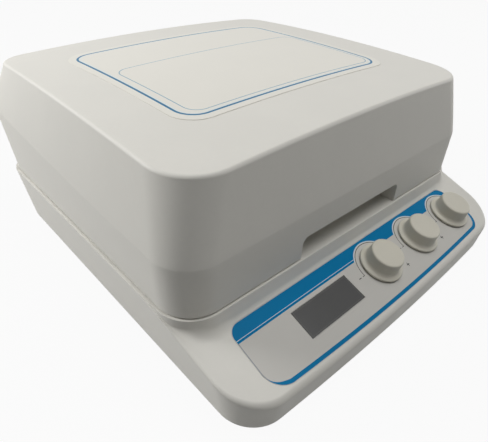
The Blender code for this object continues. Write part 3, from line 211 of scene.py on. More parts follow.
# moulded plastics: a fine spark-eroded grain, faint flow mottling and a satin sheen
plastics = {
    "shellPlastic": {"colour": (0.70, 0.685, 0.635), "mottle": 0.012, "rough": (0.48, 0.58), "grain": 0.5, "depth": 0.012, "shine": 0.32},
    "knobPlastic": {"colour": (0.604, 0.579, 0.495), "mottle": 0.015, "rough": (0.42, 0.52), "grain": 0.4, "depth": 0.010, "shine": 0.4},
    "blackPlastic": {"colour": (0.022, 0.022, 0.023), "mottle": 0.12, "rough": (0.36, 0.50), "grain": 0.4, "depth": 0.015, "shine": 0.5},
    "footRubber": {"colour": (0.028, 0.027, 0.026), "mottle": 0.25, "rough": (0.72, 0.88), "grain": 0.7, "depth": 0.03, "shine": 0.3},
    "heaterSilicone": {"colour": (0.50, 0.13, 0.055), "mottle": 0.10, "rough": (0.60, 0.75), "grain": 1.2, "depth": 0.05, "shine": 0.4},
}


def makePlastic(name, finish):
    look = Look(name)
    flow = look.noise(38.0, 3.0, (1.0, 1.0, 1.6))
    speck = look.noise(finish["grain"] * 6, 2.0)
    colour = finish["colour"]
    dark = [c * (1 - finish["mottle"]) for c in colour]
    light = [min(c * (1 + finish["mottle"]), 1.0) for c in colour]
    low, high = finish["rough"]
    return look.close(
        colour=look.mix(look.step(flow * 0.7 + speck * 0.3, 0.35, 0.65), dark, light),
        rough=look.step(speck * 0.6 + flow * 0.4, 0.3, 0.7) * (high - low) + low,
        specular=finish["shine"],
        normal=look.bump(look.noise(finish["grain"], 1.0), finish["depth"], 0.6),
    )


# metals: long drawing or turning lines along one axis, with a faint unevenness between them
metals = {
    "platedSteel": {"colour": (0.50, 0.50, 0.51), "line": (30.0, 0.35, 0.35), "rough": (0.30, 0.42), "depth": 0.004},
    "satinAluminium": {"colour": (0.53, 0.535, 0.545), "line": (45.0, 0.5, 45.0), "rough": (0.38, 0.50), "depth": 0.004},
    "turnedBrass": {"colour": (0.69, 0.51, 0.24), "line": (12.0, 12.0, 0.3), "rough": (0.26, 0.38), "depth": 0.004},
}


def makeMetal(name, finish):
    look = Look(name)
    lines = look.noise(1.0, 2.0, finish["line"])
    patch = look.noise(60.0, 2.0)
    low, high = finish["rough"]
    dull = [c * 0.95 for c in finish["colour"]]
    return look.close(
        colour=look.mix(look.step(lines * 0.6 + patch * 0.4, 0.3, 0.7), finish["colour"], dull),
        rough=look.step(lines * 0.8 + patch * 0.2, 0.3, 0.7) * (high - low) + low,
        metal=1.0,
        normal=look.bump(lines, finish["depth"], 0.4),
    )


# circuit board: solder mask over copper runs, with plated pads
boardFinish = {"mask": (0.016, 0.11, 0.05), "run": (0.03, 0.19, 0.085), "pad": (0.60, 0.52, 0.36), "pitch": 2.54}


def makeBoard(name, finish):
    look = Look(name)
    x, y, z = look.axes()
    lane = look.maths("PINGPONG", x + look.noise(14.0, 0.0) * 9.0, finish["pitch"])
    cross = look.maths("PINGPONG", y + look.noise(11.0, 0.0) * 7.0, finish["pitch"] * 1.5)
    run = look.either(look.below(lane, 0.5, 0.1), look.below(cross, 0.5, 0.1))
    pad = look.below(lane * lane + cross * cross, 0.6, 0.15)
    base = look.mix(run, finish["mask"], finish["run"])
    return look.close(
        colour=look.mix(pad, base, finish["pad"]),
        rough=0.55 - run * 0.12 - pad * 0.2,
        normal=look.bump(run, 0.035, 0.6),
    )


looks = {name: makePlastic(name, finish) for name, finish in plastics.items()}
looks.update({name: makeMetal(name, finish) for name, finish in metals.items()})
looks["circuitBoard"] = makeBoard("circuitBoard", boardFinish)
print(f"finishes: {len(looks)} plain ones made")


# printed film on the sloped panel; s runs down the slope from the film's upper edge
panelPrint = {
    "top": (-114.38, 41.6), "slope": 18.3,
    "half": 122.96, "length": 47.92, "bow": 3.4, "cornerFront": 14.0, "cornerBack": 8.0,
    "film": (0.578, 0.565, 0.531), "blue": (0.0, 0.175, 0.385), "white": (0.62, 0.70, 0.74),
    "ink": (0.035, 0.037, 0.04), "edge": (0.30, 0.32, 0.35),
    "bandEnd": 11.0, "bandLine": (9.1, 9.45), "line": 2.65,
    "knobFirst": 3.5, "knobPitch": 50.0, "knobDown": 22.4, "disc": 20.3, "arc": (18.75, 19.2),
}


def cornerInset(look, across, down, radius):  # how far inside a round corner, both values run outwards to 0
    qx = look.maths("MAXIMUM", across + radius, 0.0)
    qy = look.maths("MAXIMUM", down + radius, 0.0)
    out = look.maths("SQRT", qx * qx + qy * qy)
    inner = look.maths("MINIMUM", look.maths("MAXIMUM", across + radius, down + radius), 0.0)
    return radius - out - inner


def makePanelPrint(name, p):
    look = Look(name)
    x, y, z = look.axes()
    slope = math.radians(p["slope"])
    s = (p["top"][0] - y) * math.cos(slope) + (p["top"][1] - z) * math.sin(slope)
    wide = look.maths("ABSOLUTE", x)
    lower = s - p["length"] + (x / p["half"]) * (x / p["half"]) * p["bow"]
    insetFront = cornerInset(look, wide - p["half"], lower, p["cornerFront"])
    insetBack = cornerInset(look, wide - p["half"], 0 - s, p["cornerBack"])
    inset = look.maths("MINIMUM", insetFront, insetBack)

    # nearest knob, and the place relative to it
    number = look.maths("ROUND", (x - p["knobFirst"]) / p["knobPitch"])
    number = look.maths("MINIMUM", look.maths("MAXIMUM", number, 0.0), 2.0)
    dx = x - p["knobFirst"] - number * p["knobPitch"]
    ds = s - p["knobDown"]
    r = look.maths("SQRT", dx * dx + ds * ds)
    turn = look.maths("ARCTAN2", ds, dx)
    outside = look.step(r, p["disc"] - 0.1, p["disc"] + 0.1)

    whiteLine = look.between(s, *p["bandLine"]) * look.below(x, -10.0, 3.0)
    band = look.below(s, p["bandEnd"]) * look.step(inset, 0.2, 0.4) * outside * (1 - whiteLine)
    # the lower line follows the film's edge and thins out at both ends
    swell = look.step(x, -123.0, -112.0) * look.step(s, 26.0, 36.0)
    width = swell * (p["line"] - 0.5) + 0.5
    line = look.step(inset, 0.15, 0.3) * (1 - look.step(inset - width, -0.08, 0.08)) * look.step(s, 26.0, 27.0)
    line = line * look.either(look.step(x, -40.0, -39.0), look.step(s, 34.0, 36.0))
    side = look.between(inset, 0.2, 0.75) * look.below(x, -112.0, 1.0) * look.step(s, 10.7, 11.0) * look.below(s, 36.0, 1.0)

    arc = look.between(r, *p["arc"], 0.06) * look.below(turn, math.radians(31.0), 0.02)
    tick = look.between(ds, -0.22, 0.22, 0.06) * look.between(dx, -20.9, -18.8, 0.06)
    minus = look.between(ds, -0.3, 0.3, 0.06) * look.between(dx, -25.0, -22.6, 0.06)
    px = look.maths("ABSOLUTE", dx - 19.6)
    ps = look.maths("ABSOLUTE", ds - 12.0)
    plus = look.either(
        look.below(px, 1.5, 0.06) * look.below(ps, 0.3, 0.06),
        look.below(ps, 1.5, 0.06) * look.below(px, 0.3, 0.06),
    )
    ink = look.either(arc, tick, minus, plus)

    mottle = look.noise(24.0, 2.0)
    colour = look.mix(mottle * 0.5, p["film"], [c * 1.05 for c in p["film"]])
    halo = look.between(r, p["disc"] - 0.6, p["disc"] + 0.1) * look.below(s, 11.5)
    colour = look.mix(look.either(whiteLine * look.step(inset, 0.2, 0.4), halo), colour, p["white"])
    colour = look.mix(look.either(band, line), colour, p["blue"])
    colour = look.mix(side, colour, p["edge"])
    colour = look.mix(ink, colour, p["ink"])
    fine = look.noise(0.35, 1.0)
    return look.close(
        colour=colour,
        rough=fine * 0.1 + 0.40 - look.either(band, line) * 0.06,
        specular=0.06,
        normal=look.bump(fine, 0.006, 0.5),
    )


# cream film on the lid: a blue frame with a thin line inside, and a pale frame in the front part, left bare
lidPrint = {
    "film": (0.735, 0.716, 0.655), "blue": (0.0, 0.14, 0.28), "pale": (0.09, 0.28, 0.42), "wash": (0.69, 0.73, 0.71),
    "frame": {"middle": (0.0, 28.95), "half": (99.4, 79.4), "corner": 16.0, "line": (0.0, 1.8), "wash": (1.8, 3.2)},
    "inner": {"middle": (1.5, 3.8), "half": (93.0, 48.6), "corner": 11.0, "line": (0.0, 0.6)},
}


def roundedInset(look, x, y, middle, half, corner, **rest):
    across = look.maths("ABSOLUTE", x - middle[0]) - half[0]
    along = look.maths("ABSOLUTE", y - middle[1]) - half[1]
    return cornerInset(look, across, along, corner)


def makeLidPrint(name, p):
    look = Look(name)
    x, y, z = look.axes()
    inset, inside = (roundedInset(look, x, y, **p[key]) for key in ("frame", "inner"))
    border = look.between(inset, *p["frame"]["line"])
    thin = look.between(inside, *p["inner"]["line"], 0.06)
    wash = look.between(inset, *p["frame"]["wash"], 0.3)
    mottle = look.noise(30.0, 2.0)
    colour = look.mix(mottle * 0.6, p["film"], [c * 1.04 for c in p["film"]])
    colour = look.mix(wash, colour, p["wash"])
    colour = look.mix(thin, colour, p["pale"])
    colour = look.mix(border, colour, p["blue"])
    fine = look.noise(0.4, 1.0)
    return look.close(
        colour=colour,
        rough=fine * 0.1 + 0.40 - border * 0.05,
        specular=0.25,
        normal=look.bump(fine, 0.005, 0.5),
    )


# display: smoked window, a little paler where the glass behind it ends
displayFinish = {"middle": (-55.5, 23.8), "half": (26.35, 9.75), "glass": (0.032, 0.032, 0.031), "rim": (0.052, 0.052, 0.05)}


def makeDisplay(name, p, panel):
    look = Look(name)
    x, y, z = look.axes()
    slope = math.radians(panel["slope"])
    s = (panel["top"][0] - y) * math.cos(slope) + (panel["top"][1] - z) * math.sin(slope)
    inset = roundedInset(look, x, s, p["middle"], p["half"], 0.6)
    cloud = look.noise(16.0, 2.0)
    rim = look.below(inset, 1.3, 0.15)
    colour = look.mix(cloud * 0.5, p["glass"], [c * 1.15 for c in p["glass"]])
    return look.close(
        colour=look.mix(rim, colour, p["rim"]),
        rough=cloud * 0.08 + 0.20,
        coat=0.15 - rim * 0.06,
        specular=0.4,
        normal=look.bump(rim, 0.02, 0.3),
    )


looks["panelPrint"] = makePanelPrint("panelPrint", panelPrint)
looks["lidPrint"] = makeLidPrint("lidPrint", lidPrint)
looks["smokedWindow"] = makeDisplay("smokedWindow", displayFinish, panelPrint)
print("finishes: panel print, lid print and display window made")


# mesh helpers
def linkMesh(name, points, faces, look=None):
    mesh = bpy.data.meshes.new(name)
    mesh.from_pydata([tuple(p) for p in points], [], faces)
    made = bpy.data.objects.new(name, mesh)
    scene.collection.objects.link(made)
    if look:
        mesh.materials.append(looks[look])
    return made


def bake(made):  # modifiers into a plain mesh
    graph = bpy.context.evaluated_depsgraph_get()
    graph.update()
    mesh = bpy.data.meshes.new_from_object(made.evaluated_get(graph), preserve_all_data_layers=True, depsgraph=graph)
    made.modifiers.clear()
    old = made.data
    made.data = mesh
    bpy.data.meshes.remove(old)
    mesh.name = made.name
    return made


def carve(made, *steps):  # steps are (operation, tool object)
    for operation, tool in steps:
        modifier = made.modifiers.new(tool.name, "BOOLEAN")
        modifier.operation = operation
        modifier.solver = "EXACT"
        modifier.object = tool
    bake(made)
    for _, tool in steps:
        bpy.data.objects.remove(tool)
    return made


def soften(made, sharp=38.0, weigh=True):
    made.data.shade_smooth()
    made.data.set_sharp_from_angle(angle=math.radians(sharp))
    if weigh:
        modifier = made.modifiers.new("evenNormals", "WEIGHTED_NORMAL")
        modifier.keep_sharp = True
        bake(made)
    return made


def settle(made, body, slot, *nodes):
    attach(made, body)
    if nodes:
        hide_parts(*nodes)
    return made


def skin(rings, closeLow=True, closeHigh=True):
    n = len(rings[0])
    points = [Vector(p) * mm for ring in rings for p in ring]
    faces = []
    for k in range(len(rings) - 1):
        for i in range(n):
            j = (i + 1) % n
            faces.append((k * n + i, k * n + j, k * n + n + j, k * n + n + i))
    if closeLow:
        faces += [tuple(reversed(strip)) for strip in strips(rings[0], 0)]
    if closeHigh:
        faces += strips(rings[-1], (len(rings) - 1) * n)
    return points, faces


def strips(ring, start):  # faces across a mirrored ring
    n = len(ring)
    half = n // 2
    near = 1e-4
    first = 1 + max(i for i in range(half) if ring[i][1] - ring[0][1] < near)
    last = min(i for i in range(half + 1) if ring[half][1] - ring[i][1] < near) - 1
    front = (*range(first + 1), *range(n - first, n))
    back = tuple(range(last, n - last + 1))
    rows = [front, *((i, i + 1, n - i - 1, n - i) for i in range(first, last)), back]
    return [tuple(start + i for i in row) for row in rows]


def mirrorRing(half):
    return half + [(-x, y, z) for x, y, z in reversed(half[1:-1])]


def prism(outline, low, high):
    n = len(outline)
    points = [Vector((x, y, z)) * mm for z in (low, high) for x, y in outline]
    sides = [(i, (i + 1) % n, n + (i + 1) % n, n + i) for i in range(n)]
    return points, sides + [tuple(reversed(range(n))), tuple(range(n, 2 * n))]


def roundedOutline(width, height, radius, steps=10):
    outline = []
    for quarter in range(4):
        sx, sy = (1, -1, -1, 1)[quarter], (1, 1, -1, -1)[quarter]
        for i in range(steps + 1):
            a = (quarter + i / steps) * math.pi / 2
            outline.append((
                sx * (width / 2 - radius) + radius * math.cos(a),
                sy * (height / 2 - radius) + radius * math.sin(a),
            ))
    return outline


def circle(radius, steps=48):
    return [(radius * math.cos(2 * math.pi * i / steps), radius * math.sin(2 * math.pi * i / steps)) for i in range(steps)]


def moved(shape, matrix):
    return [matrix @ p for p in shape[0]], shape[1]


def shifted(shape, x=0.0, y=0.0, z=0.0):
    return moved(shape, Matrix.Translation(Vector((x, y, z)) * mm))


def joined(*shapes):
    points, faces = [], []
    for more, sides in shapes:
        start = len(points)
        points += more
        faces += [tuple(start + i for i in side) for side in sides]
    return points, faces


def mixed(a, b, t):
    return a + (b - a) * t


def spread(low, high, steps):  # steps + 1 even values
    return [mixed(low, high, i / steps) for i in range(steps + 1)]


def rounded(corners, steps=6):  # profile of (radius, height, rounding), each corner turned softly
    profile = []
    for i, (r, z, rounding) in enumerate(corners):
        here = Vector((r, z))
        if rounding == 0.0:
            profile.append((r, z))
            continue
        before, after = (here + rounding * (Vector(corners[j][:2]) - here).normalized() for j in (i - 1, i + 1))
        for t in spread(0.0, 1.0, steps):
            profile.append(tuple(before.lerp(here, t).lerp(here.lerp(after, t), t)))
    return profile


def turned(profile, steps=96):  # profile turned about Z, from the axis up the outside to the axis
    points, rows = [], []
    for r, z in profile:
        if r < 1e-6:
            rows.append([len(points)] * steps)
            points.append(Vector((0, 0, z)) * mm)
            continue
        rows.append([len(points) + i for i in range(steps)])
        points += [Vector((r * math.cos(2 * math.pi * i / steps), r * math.sin(2 * math.pi * i / steps), z)) * mm for i in range(steps)]
    faces = []
    for low, high in zip(rows, rows[1:]):
        for i in range(steps):
            j = (i + 1) % steps
            faces.append(tuple(dict.fromkeys((low[i], low[j], high[j], high[i]))))
    return points, faces


# frames of the sloped panel and of the leaning rear wall
rearWall = {"origin": (0.0, 143.42, 28.0), "lean": 0.19}


def frameOf(origin, across, up):
    x, y = Vector(across).normalized(), Vector(up).normalized()
    turn = Matrix((x, y, x.cross(y))).transposed().to_4x4()
    return Matrix.Translation(Vector(origin) * mm) @ turn


panelSlope = math.radians(panelPrint["slope"])
panelFrame = frameOf((0, *panelPrint["top"]), (1, 0, 0), (0, math.cos(panelSlope), math.sin(panelSlope)))
rearFrame = frameOf(rearWall["origin"], (-1, 0, 0), (0, rearWall["lean"], 1))


# half of a plan outline from the front's middle round to the back's: (x, y, normal x, normal y)
outlineSteps = {"straight": 12, "corner": 14, "run": 8, "side": 22}


def arcPoints(centre, radius, angles):
    normals = [(math.cos(a), math.sin(a)) for a in angles]
    return [(centre[0] + radius * nx, centre[1] + radius * ny, nx, ny) for nx, ny in normals]


def halfOutline(halfWidth, front, back, cornerFront, cornerBack, sideFrom, bow=0.0, finer=1):
    n = {key: steps * finer for key, steps in outlineSteps.items()}
    quarter = math.pi / 2
    half = [(x, front, 0.0, -1.0) for x in spread(0.0, halfWidth - cornerFront, n["straight"])[:-1]]
    half += arcPoints((halfWidth - cornerFront, front + cornerFront), cornerFront, spread(-quarter, 0.0, n["corner"]))
    half = [(x, y - bow * (1 - (x / halfWidth) ** 2), nx, ny) for x, y, nx, ny in half]
    half += [(halfWidth, y, 1.0, 0.0) for y in spread(half[-1][1], sideFrom, n["run"])[1:]]
    half += [(halfWidth, y, 1.0, 0.0) for y in spread(sideFrom, back - cornerBack, n["side"])[1:-1]]
    half += arcPoints((halfWidth - cornerBack, back - cornerBack), cornerBack, spread(0.0, quarter, n["corner"]))
    half += [(x, back, 0.0, 1.0) for x in spread(halfWidth - cornerBack, 0.0, n["straight"])[1:]]
    return half


# lid: seam, crease and top outlines joined by a leaning lower wall, a soft bend and a crowned top
lidForm = {
    "seam": (149.46, -109.98, 144.48, 24.0, 24.0),
    "crease": (152.46, -111.58, 163.48, 26.0, 22.0),
    "top": (145.46, -106.08, 157.98, 32.0, 24.0),
    "seamZ": 53.8, "topZ": 147.5, "creaseUp": (36.0, 49.0), "topEdge": 2.5, "crown": (4.5, 4.0), "soft": (1.08, 1.1),
    "wall": 3.0, "groove": ((0.0, 1.0), (0.012, 1.0), (0.0125, 0.4), (0.0155, 0.1), (0.02, 0.0)), "grooveDepth": (0.1, 1.3), "rearDraw": 4.0,
    "notch": {"width": 110.0, "height": 17.0, "depth": 22.0, "corner": 5.0, "edge": 0.5},
    "bosses": {"radius": 5.0, "low": 135.3, "at": [(sx * 105.96, y) for y in (-50.08, 101.98) for sx in (-1, 1)]},
}


def lidOutline(level):
    halfWidth, front, back, cornerFront, cornerBack = lidForm[level]
    outline = halfOutline(halfWidth, front, back, cornerFront, cornerBack, front + cornerFront + 12.0)
    draw = lidForm["rearDraw"] if level == "top" else 0.0  # the top narrows towards the rear
    drawn = [(p, draw * ((p[1] - front) / (back - front)) ** 2) for p in outline]
    return [(x - d * nx, y - d * ny, nx, ny) for (x, y, nx, ny), d in drawn]


def crownHeight(x, y):
    half, front, back = lidForm["top"][:3]
    along = (y - (front + back) / 2) / ((back - front) / 2)
    side, end = lidForm["crown"]
    return lidForm["topZ"] - side * (x / half) ** 2 - end * along**2


def lidRings(inset, drop, bottom, groove=()):
    f = lidForm
    levels = list(zip(*(lidOutline(level) for level in ("seam", "crease", "top"))))
    _, front, back = f["seam"][:3]
    topMiddle = (f["top"][1] + f["top"][2]) / 2

    def creaseZ(y):
        t = (y - front) / (back - front)
        return f["seamZ"] + mixed(*f["creaseUp"], t * t)

    def lower(low, mid, t, share=0.0):
        d = inset + share * mixed(*f["grooveDepth"], max(-low[3], 0.0))
        return mixed(low[0], mid[0], t) - d * low[2], mixed(low[1], mid[1], t) - d * low[3], mixed(bottom, creaseZ(mid[1]), t)

    def upper(mid, high, t):
        along = min(max((mid[1] - front) / (back - front), 0.0), 1.0)
        bend = t ** mixed(*f["soft"], along)
        z = mixed(creaseZ(mid[1]), crownHeight(high[0], high[1]) - f["topEdge"] - drop, t)
        return mixed(mid[0], high[0], bend) - inset * mid[2], mixed(mid[1], high[1], bend) - inset * mid[3], z

    def edge(high, a):
        d = inset + f["topEdge"] * (1 - math.cos(a))
        x, y = high[0] - d * high[2], high[1] - d * high[3]
        return x, y, crownHeight(x, y) - drop - f["topEdge"] * (1 - math.sin(a))

    def crown(high, share):
        x, y, _ = edge(high, math.pi / 2)
        x, y = x * share, mixed(topMiddle, y, share)
        return x, y, crownHeight(x, y) - drop

    places = [lambda l, m, h, t=t, d=d: lower(l, m, t, d) for t, d in groove or [(0.0, 0.0)]]
    places += [lambda l, m, h, t=t: lower(l, m, t) for t in (0.06, 0.2, 0.4, 0.6, 0.8, 0.93, 0.985)]
    places += [lambda l, m, h, t=t: upper(m, h, t) for t in (0.012, 0.05, 0.12, *spread(0.2, 1.0, 10))]
    places += [lambda l, m, h, a=a: edge(h, a) for a in spread(0.0, math.pi / 2, 8)[1:]]
    places += [lambda l, m, h, s=s: crown(h, s) for s in (0.94, 0.86, 0.76, 0.65, 0.53, 0.41, 0.29, 0.17, 0.06)]
    return [mirrorRing([place(*level) for level in levels]) for place in places]


def easeNotch(lid):  # rounds the notch's mouth where it breaks through the front wall
    f, notch = lidForm, lidForm["notch"]
    width, top, front = (notch["width"] / 2 + 1) * mm, (f["seamZ"] + notch["height"] + 1) * mm, (f["seam"][1] + 1) * mm
    work = bmesh.new()
    work.from_mesh(lid.data)
    mouth = []
    for edge in work.edges:
        near = all(abs(v.co.x) < width and v.co.z < top and v.co.y < front for v in edge.verts)
        if near and len(edge.link_faces) == 2 and edge.calc_face_angle() > math.radians(60):
            mouth.append(edge)
    bmesh.ops.bevel(work, geom=mouth, offset=notch["edge"] * mm, segments=3, profile=0.5, affect="EDGES", clamp_overlap=True)
    work.to_mesh(lid.data)
    work.free()
    print("lid: notch edges eased,", len(mouth))


def makeLid():
    f, notch = lidForm, lidForm["notch"]
    lid = linkMesh("lidShell", *skin(lidRings(0.0, 0.0, f["seamZ"], f["groove"])), "shellPlastic")
    hollow = linkMesh("lidHollow", *skin(lidRings(f["wall"], f["wall"], f["seamZ"] - f["wall"])))
    front = f["crease"][1] - f["wall"]
    upright = Matrix.Translation(Vector((0, front, f["seamZ"])) * mm) @ Matrix.Rotation(math.pi / 2, 4, "X")
    reach = front - f["seam"][1] - notch["depth"]
    wall = f["wall"]
    pocket = prism(roundedOutline(notch["width"] + 2 * wall, 2 * (notch["height"] + wall), notch["corner"] + wall), reach - wall, 0.0)
    opening = prism(roundedOutline(notch["width"], 2 * notch["height"], notch["corner"]), reach, wall)
    bosses = f["bosses"]
    posts = joined(*(shifted(prism(circle(bosses["radius"]), bosses["low"], f["topZ"]), x, y) for x, y in bosses["at"]))
    carve(
        hollow,
        ("DIFFERENCE", linkMesh("notchPocket", *moved(pocket, upright))),
        ("DIFFERENCE", linkMesh("lidPosts", *posts)),
    )
    carve(lid, ("DIFFERENCE", hollow), ("DIFFERENCE", linkMesh("fingerNotch", *moved(opening, upright))))
    easeNotch(lid)
    return settle(soften(lid), "lid", "shell", "lid_shell")


labelForm = {"half": 104.96, "front": -56.08, "back": 113.98, "corner": 20.0, "lift": 0.06, "film": 0.2}


def makeLabel():
    f = labelForm
    outline = halfOutline(f["half"], f["front"], f["back"], f["corner"], f["corner"], f["front"] + f["corner"] + 10.0)
    middle = (f["front"] + f["back"]) / 2

    def ring(share, rise):
        half = []
        for x, y, _, _ in outline:
            x, y = x * share, mixed(middle, y, share)
            half.append((x, y, crownHeight(x, y) + rise))
        return mirrorRing(half)

    shares = (0.04, 0.2, 0.36, 0.52, 0.68, 0.84, 1.0)
    rings = [ring(share, f["lift"]) for share in shares]
    rings += [ring(share, f["lift"] + f["film"]) for share in reversed(shares)]
    label = linkMesh("lidLabel", *skin(rings), "lidPrint")
    return settle(soften(label), "lid", "label", "lid_label")


# base: leaning walls, a rounded shoulder, the sloped panel and the seat that carries the lid
baseForm = {
    "half": 151.5, "front": -164.61, "back": 147.98, "cornerFront": 32.0, "cornerBack": 26.0, "bow": 4.5,
    "lean": 0.19, "edge": 3.0, "shoulder": 52.0, "sideTop": 53.0, "deck": 53.5, "bottom": 4.0, "wall": 3.0, "blend": 3.0,
    "edgeSide": 1.7, "foot": 0.8, "share": 0.38,
    "seat": {"margin": (1.4, 1.2), "rim": (0.2, 0.4), "lean": 11.0, "sweep": (7.0, 11.0), "between": (112.0, 130.0), "most": 0.85},
    "fine": {"reach": 10.0, "straight": 5, "corner": 44, "crowd": 1.5},
    "bores": [(0.0, 26.7, 11.0), *((sx * 94.96, y, 6.3) for y in (-33.28, 86.68) for sx in (-1, 1))],
    "rearHoles": [(42.0, 40.6, 24.6), (1.5, 14.2, 19.47)],
    "recess": 0.6, "recessGap": 0.05, "bush": 4.8, "ledge": 1.5,
}


def topHeight(y):
    f, (topY, topZ) = baseForm, panelPrint["top"]
    slope = topZ + (y - topY) * math.tan(panelSlope)
    t = min(max(0.5 + (f["sideTop"] - slope) / (2 * f["blend"]), 0.0), 1.0)
    return mixed(f["sideTop"], slope, t) - f["blend"] * t * (1 - t)


def seatOutline():  # the lid's seam again, finer where the housing's corners lie ahead of it
    halfWidth, front, back, corner = lidForm["seam"][:4]
    n, fine = outlineSteps, baseForm["fine"]
    straight, quarter = halfWidth - corner, math.pi / 2
    xs = spread(0.0, straight - fine["reach"], n["straight"])[:-1] + spread(straight - fine["reach"], straight, fine["straight"])[:-1]
    half = [(x, front, 0.0, -1.0) for x in xs]
    turns = [quarter * (t ** fine["crowd"] - 1) for t in spread(0.0, 1.0, fine["corner"])]
    half += arcPoints((straight, front + corner), corner, turns)
    half += [(halfWidth, y, 1.0, 0.0) for y in spread(front + corner, back - corner, n["side"])[1:-1]]
    half += arcPoints((straight, back - corner), corner, spread(0.0, quarter, n["corner"]))
    half += [(x, back, 0.0, 1.0) for x in spread(straight, 0.0, n["straight"])[1:]]
    return half


def facing(outline, spot):  # where a line along a point's normal meets an outline
    x, y, nx, ny = spot
    for a, b in zip(outline, outline[1:]):
        alongX, alongY, awayX, awayY = b[0] - a[0], b[1] - a[1], a[0] - x, a[1] - y
        cross = nx * alongY - ny * alongX
        if abs(cross) < 1e-9:
            continue
        u = (awayX * ny - awayY * nx) / cross
        if -1e-6 <= u <= 1.000001 and (awayX * alongY - awayY * alongX) / cross > 0.0:
            return tuple(mixed(before, after, u) for before, after in zip(a, b))


def baseRings():
    f = baseForm
    seat = seatOutline()
    outer = halfOutline(f["half"], f["front"], f["back"], f["cornerFront"], f["cornerBack"], 0.0, f["bow"], 4)

    def onWall(p, z, deeper=0.0):
        d = f["lean"] * (f["shoulder"] - z) + deeper
        return p[0] - p[2] * d, p[1] - p[3] * d, z

    def seatWall(q, room):  # rim, leaning wall and the sweep that meets the top along its own slope
        g = f["seat"]
        ahead = max(-q[3], 0.0) ** 2
        margin, rim = mixed(*g["margin"], ahead), mixed(*g["rim"], ahead)
        lean = math.radians(g["lean"]) * ahead**3
        start, end = g["between"]
        t = min(max((q[0] - start) / (end - start), 0.0), 1.0)

        def fall(d):
            return f["deck"] - rim - topHeight(q[1] + q[3] * d)

        sweep = min(mixed(*g["sweep"], t * t * (3 - 2 * t)), g["most"] * fall(margin), f["share"] * (room - margin))
        toe, slope = margin, 0.0
        for _ in range(20):
            slope = math.atan(fall(toe + 0.5) - fall(toe - 0.5))
            wall = fall(toe) - sweep * (math.cos(slope) - math.sin(lean))
            toe = margin + wall * math.tan(lean) + sweep * (math.cos(lean) - math.sin(slope))
        return {"margin": margin, "rim": rim, "lean": lean, "sweep": sweep, "toe": toe, "slope": slope}

    # edges and sweeps shrink where the shoulder is narrow
    pairs = []
    for q in seat:
        p = facing(outer, q)
        z = f["sideTop"]
        for _ in range(12):
            x, y, _ = onWall(p, z)
            room = math.hypot(x - q[0], y - q[1])
            wall = seatWall(q, room)
            edge = min(mixed(f["edgeSide"], f["edge"], max(-p[3], 0.0)), f["share"] * (room - wall["margin"]))
            z = topHeight(y) - edge
        pairs.append((p, q, wall, z, edge))

    def footAt(p, q, wall, top, edge, a):
        return onWall(p, f["bottom"] + f["foot"] * (1 - math.cos(a)), f["foot"] * (1 - math.sin(a)))

    def wallAt(p, q, wall, top, edge, t):
        return onWall(p, mixed(f["bottom"] + f["foot"], top, t))

    def edgeAt(p, q, wall, top, edge, a):
        x, y, _ = onWall(p, top, edge * (1 - math.cos(a)))
        return x, y, topHeight(y) - edge * (1 - math.sin(a))

    def sweepAt(p, q, wall, top, edge, t):
        a = mixed(wall["slope"], math.pi / 2 - wall["lean"], t)
        d = wall["toe"] - wall["sweep"] * (math.sin(a) - math.sin(wall["slope"]))
        z = topHeight(q[1] + q[3] * wall["toe"]) + wall["sweep"] * (math.cos(wall["slope"]) - math.cos(a))
        return q[0] + q[2] * d, q[1] + q[3] * d, z

    def topAt(p, q, wall, top, edge, t):
        x0, y0, _ = edgeAt(p, q, wall, top, edge, math.pi / 2)
        x1, y1, _ = sweepAt(p, q, wall, top, edge, 0.0)
        x, y = mixed(x0, x1, t), mixed(y0, y1, t)
        return x, y, topHeight(y)

    def rimAt(p, q, wall, top, edge, a):
        d = wall["margin"] - wall["rim"] * (1 - math.cos(a))
        return q[0] + q[2] * d, q[1] + q[3] * d, f["deck"] - wall["rim"] * (1 - math.sin(a))

    def deckAt(p, q, wall, top, edge, d):
        return q[0] - q[2] * d, q[1] - q[3] * d, f["deck"]

    quarter = math.pi / 2
    stages = [(footAt, a) for a in spread(0.0, quarter, 3)[:-1]]
    stages += [(wallAt, t) for t in spread(0.0, 1.0, 7)[:-1]]
    stages += [(edgeAt, a) for a in spread(0.0, quarter, 8)]
    stages += [(topAt, t) for t in spread(0.0, 1.0, 12)[1:-1]]
    stages += [(sweepAt, t) for t in spread(0.0, 1.0, 10)]
    stages += [(rimAt, a) for a in spread(0.0, quarter, 4)]
    stages += [(deckAt, 4.0)]
    return [mirrorRing([stage(*pair, value) for pair in pairs]) for stage, value in stages], pairs, onWall


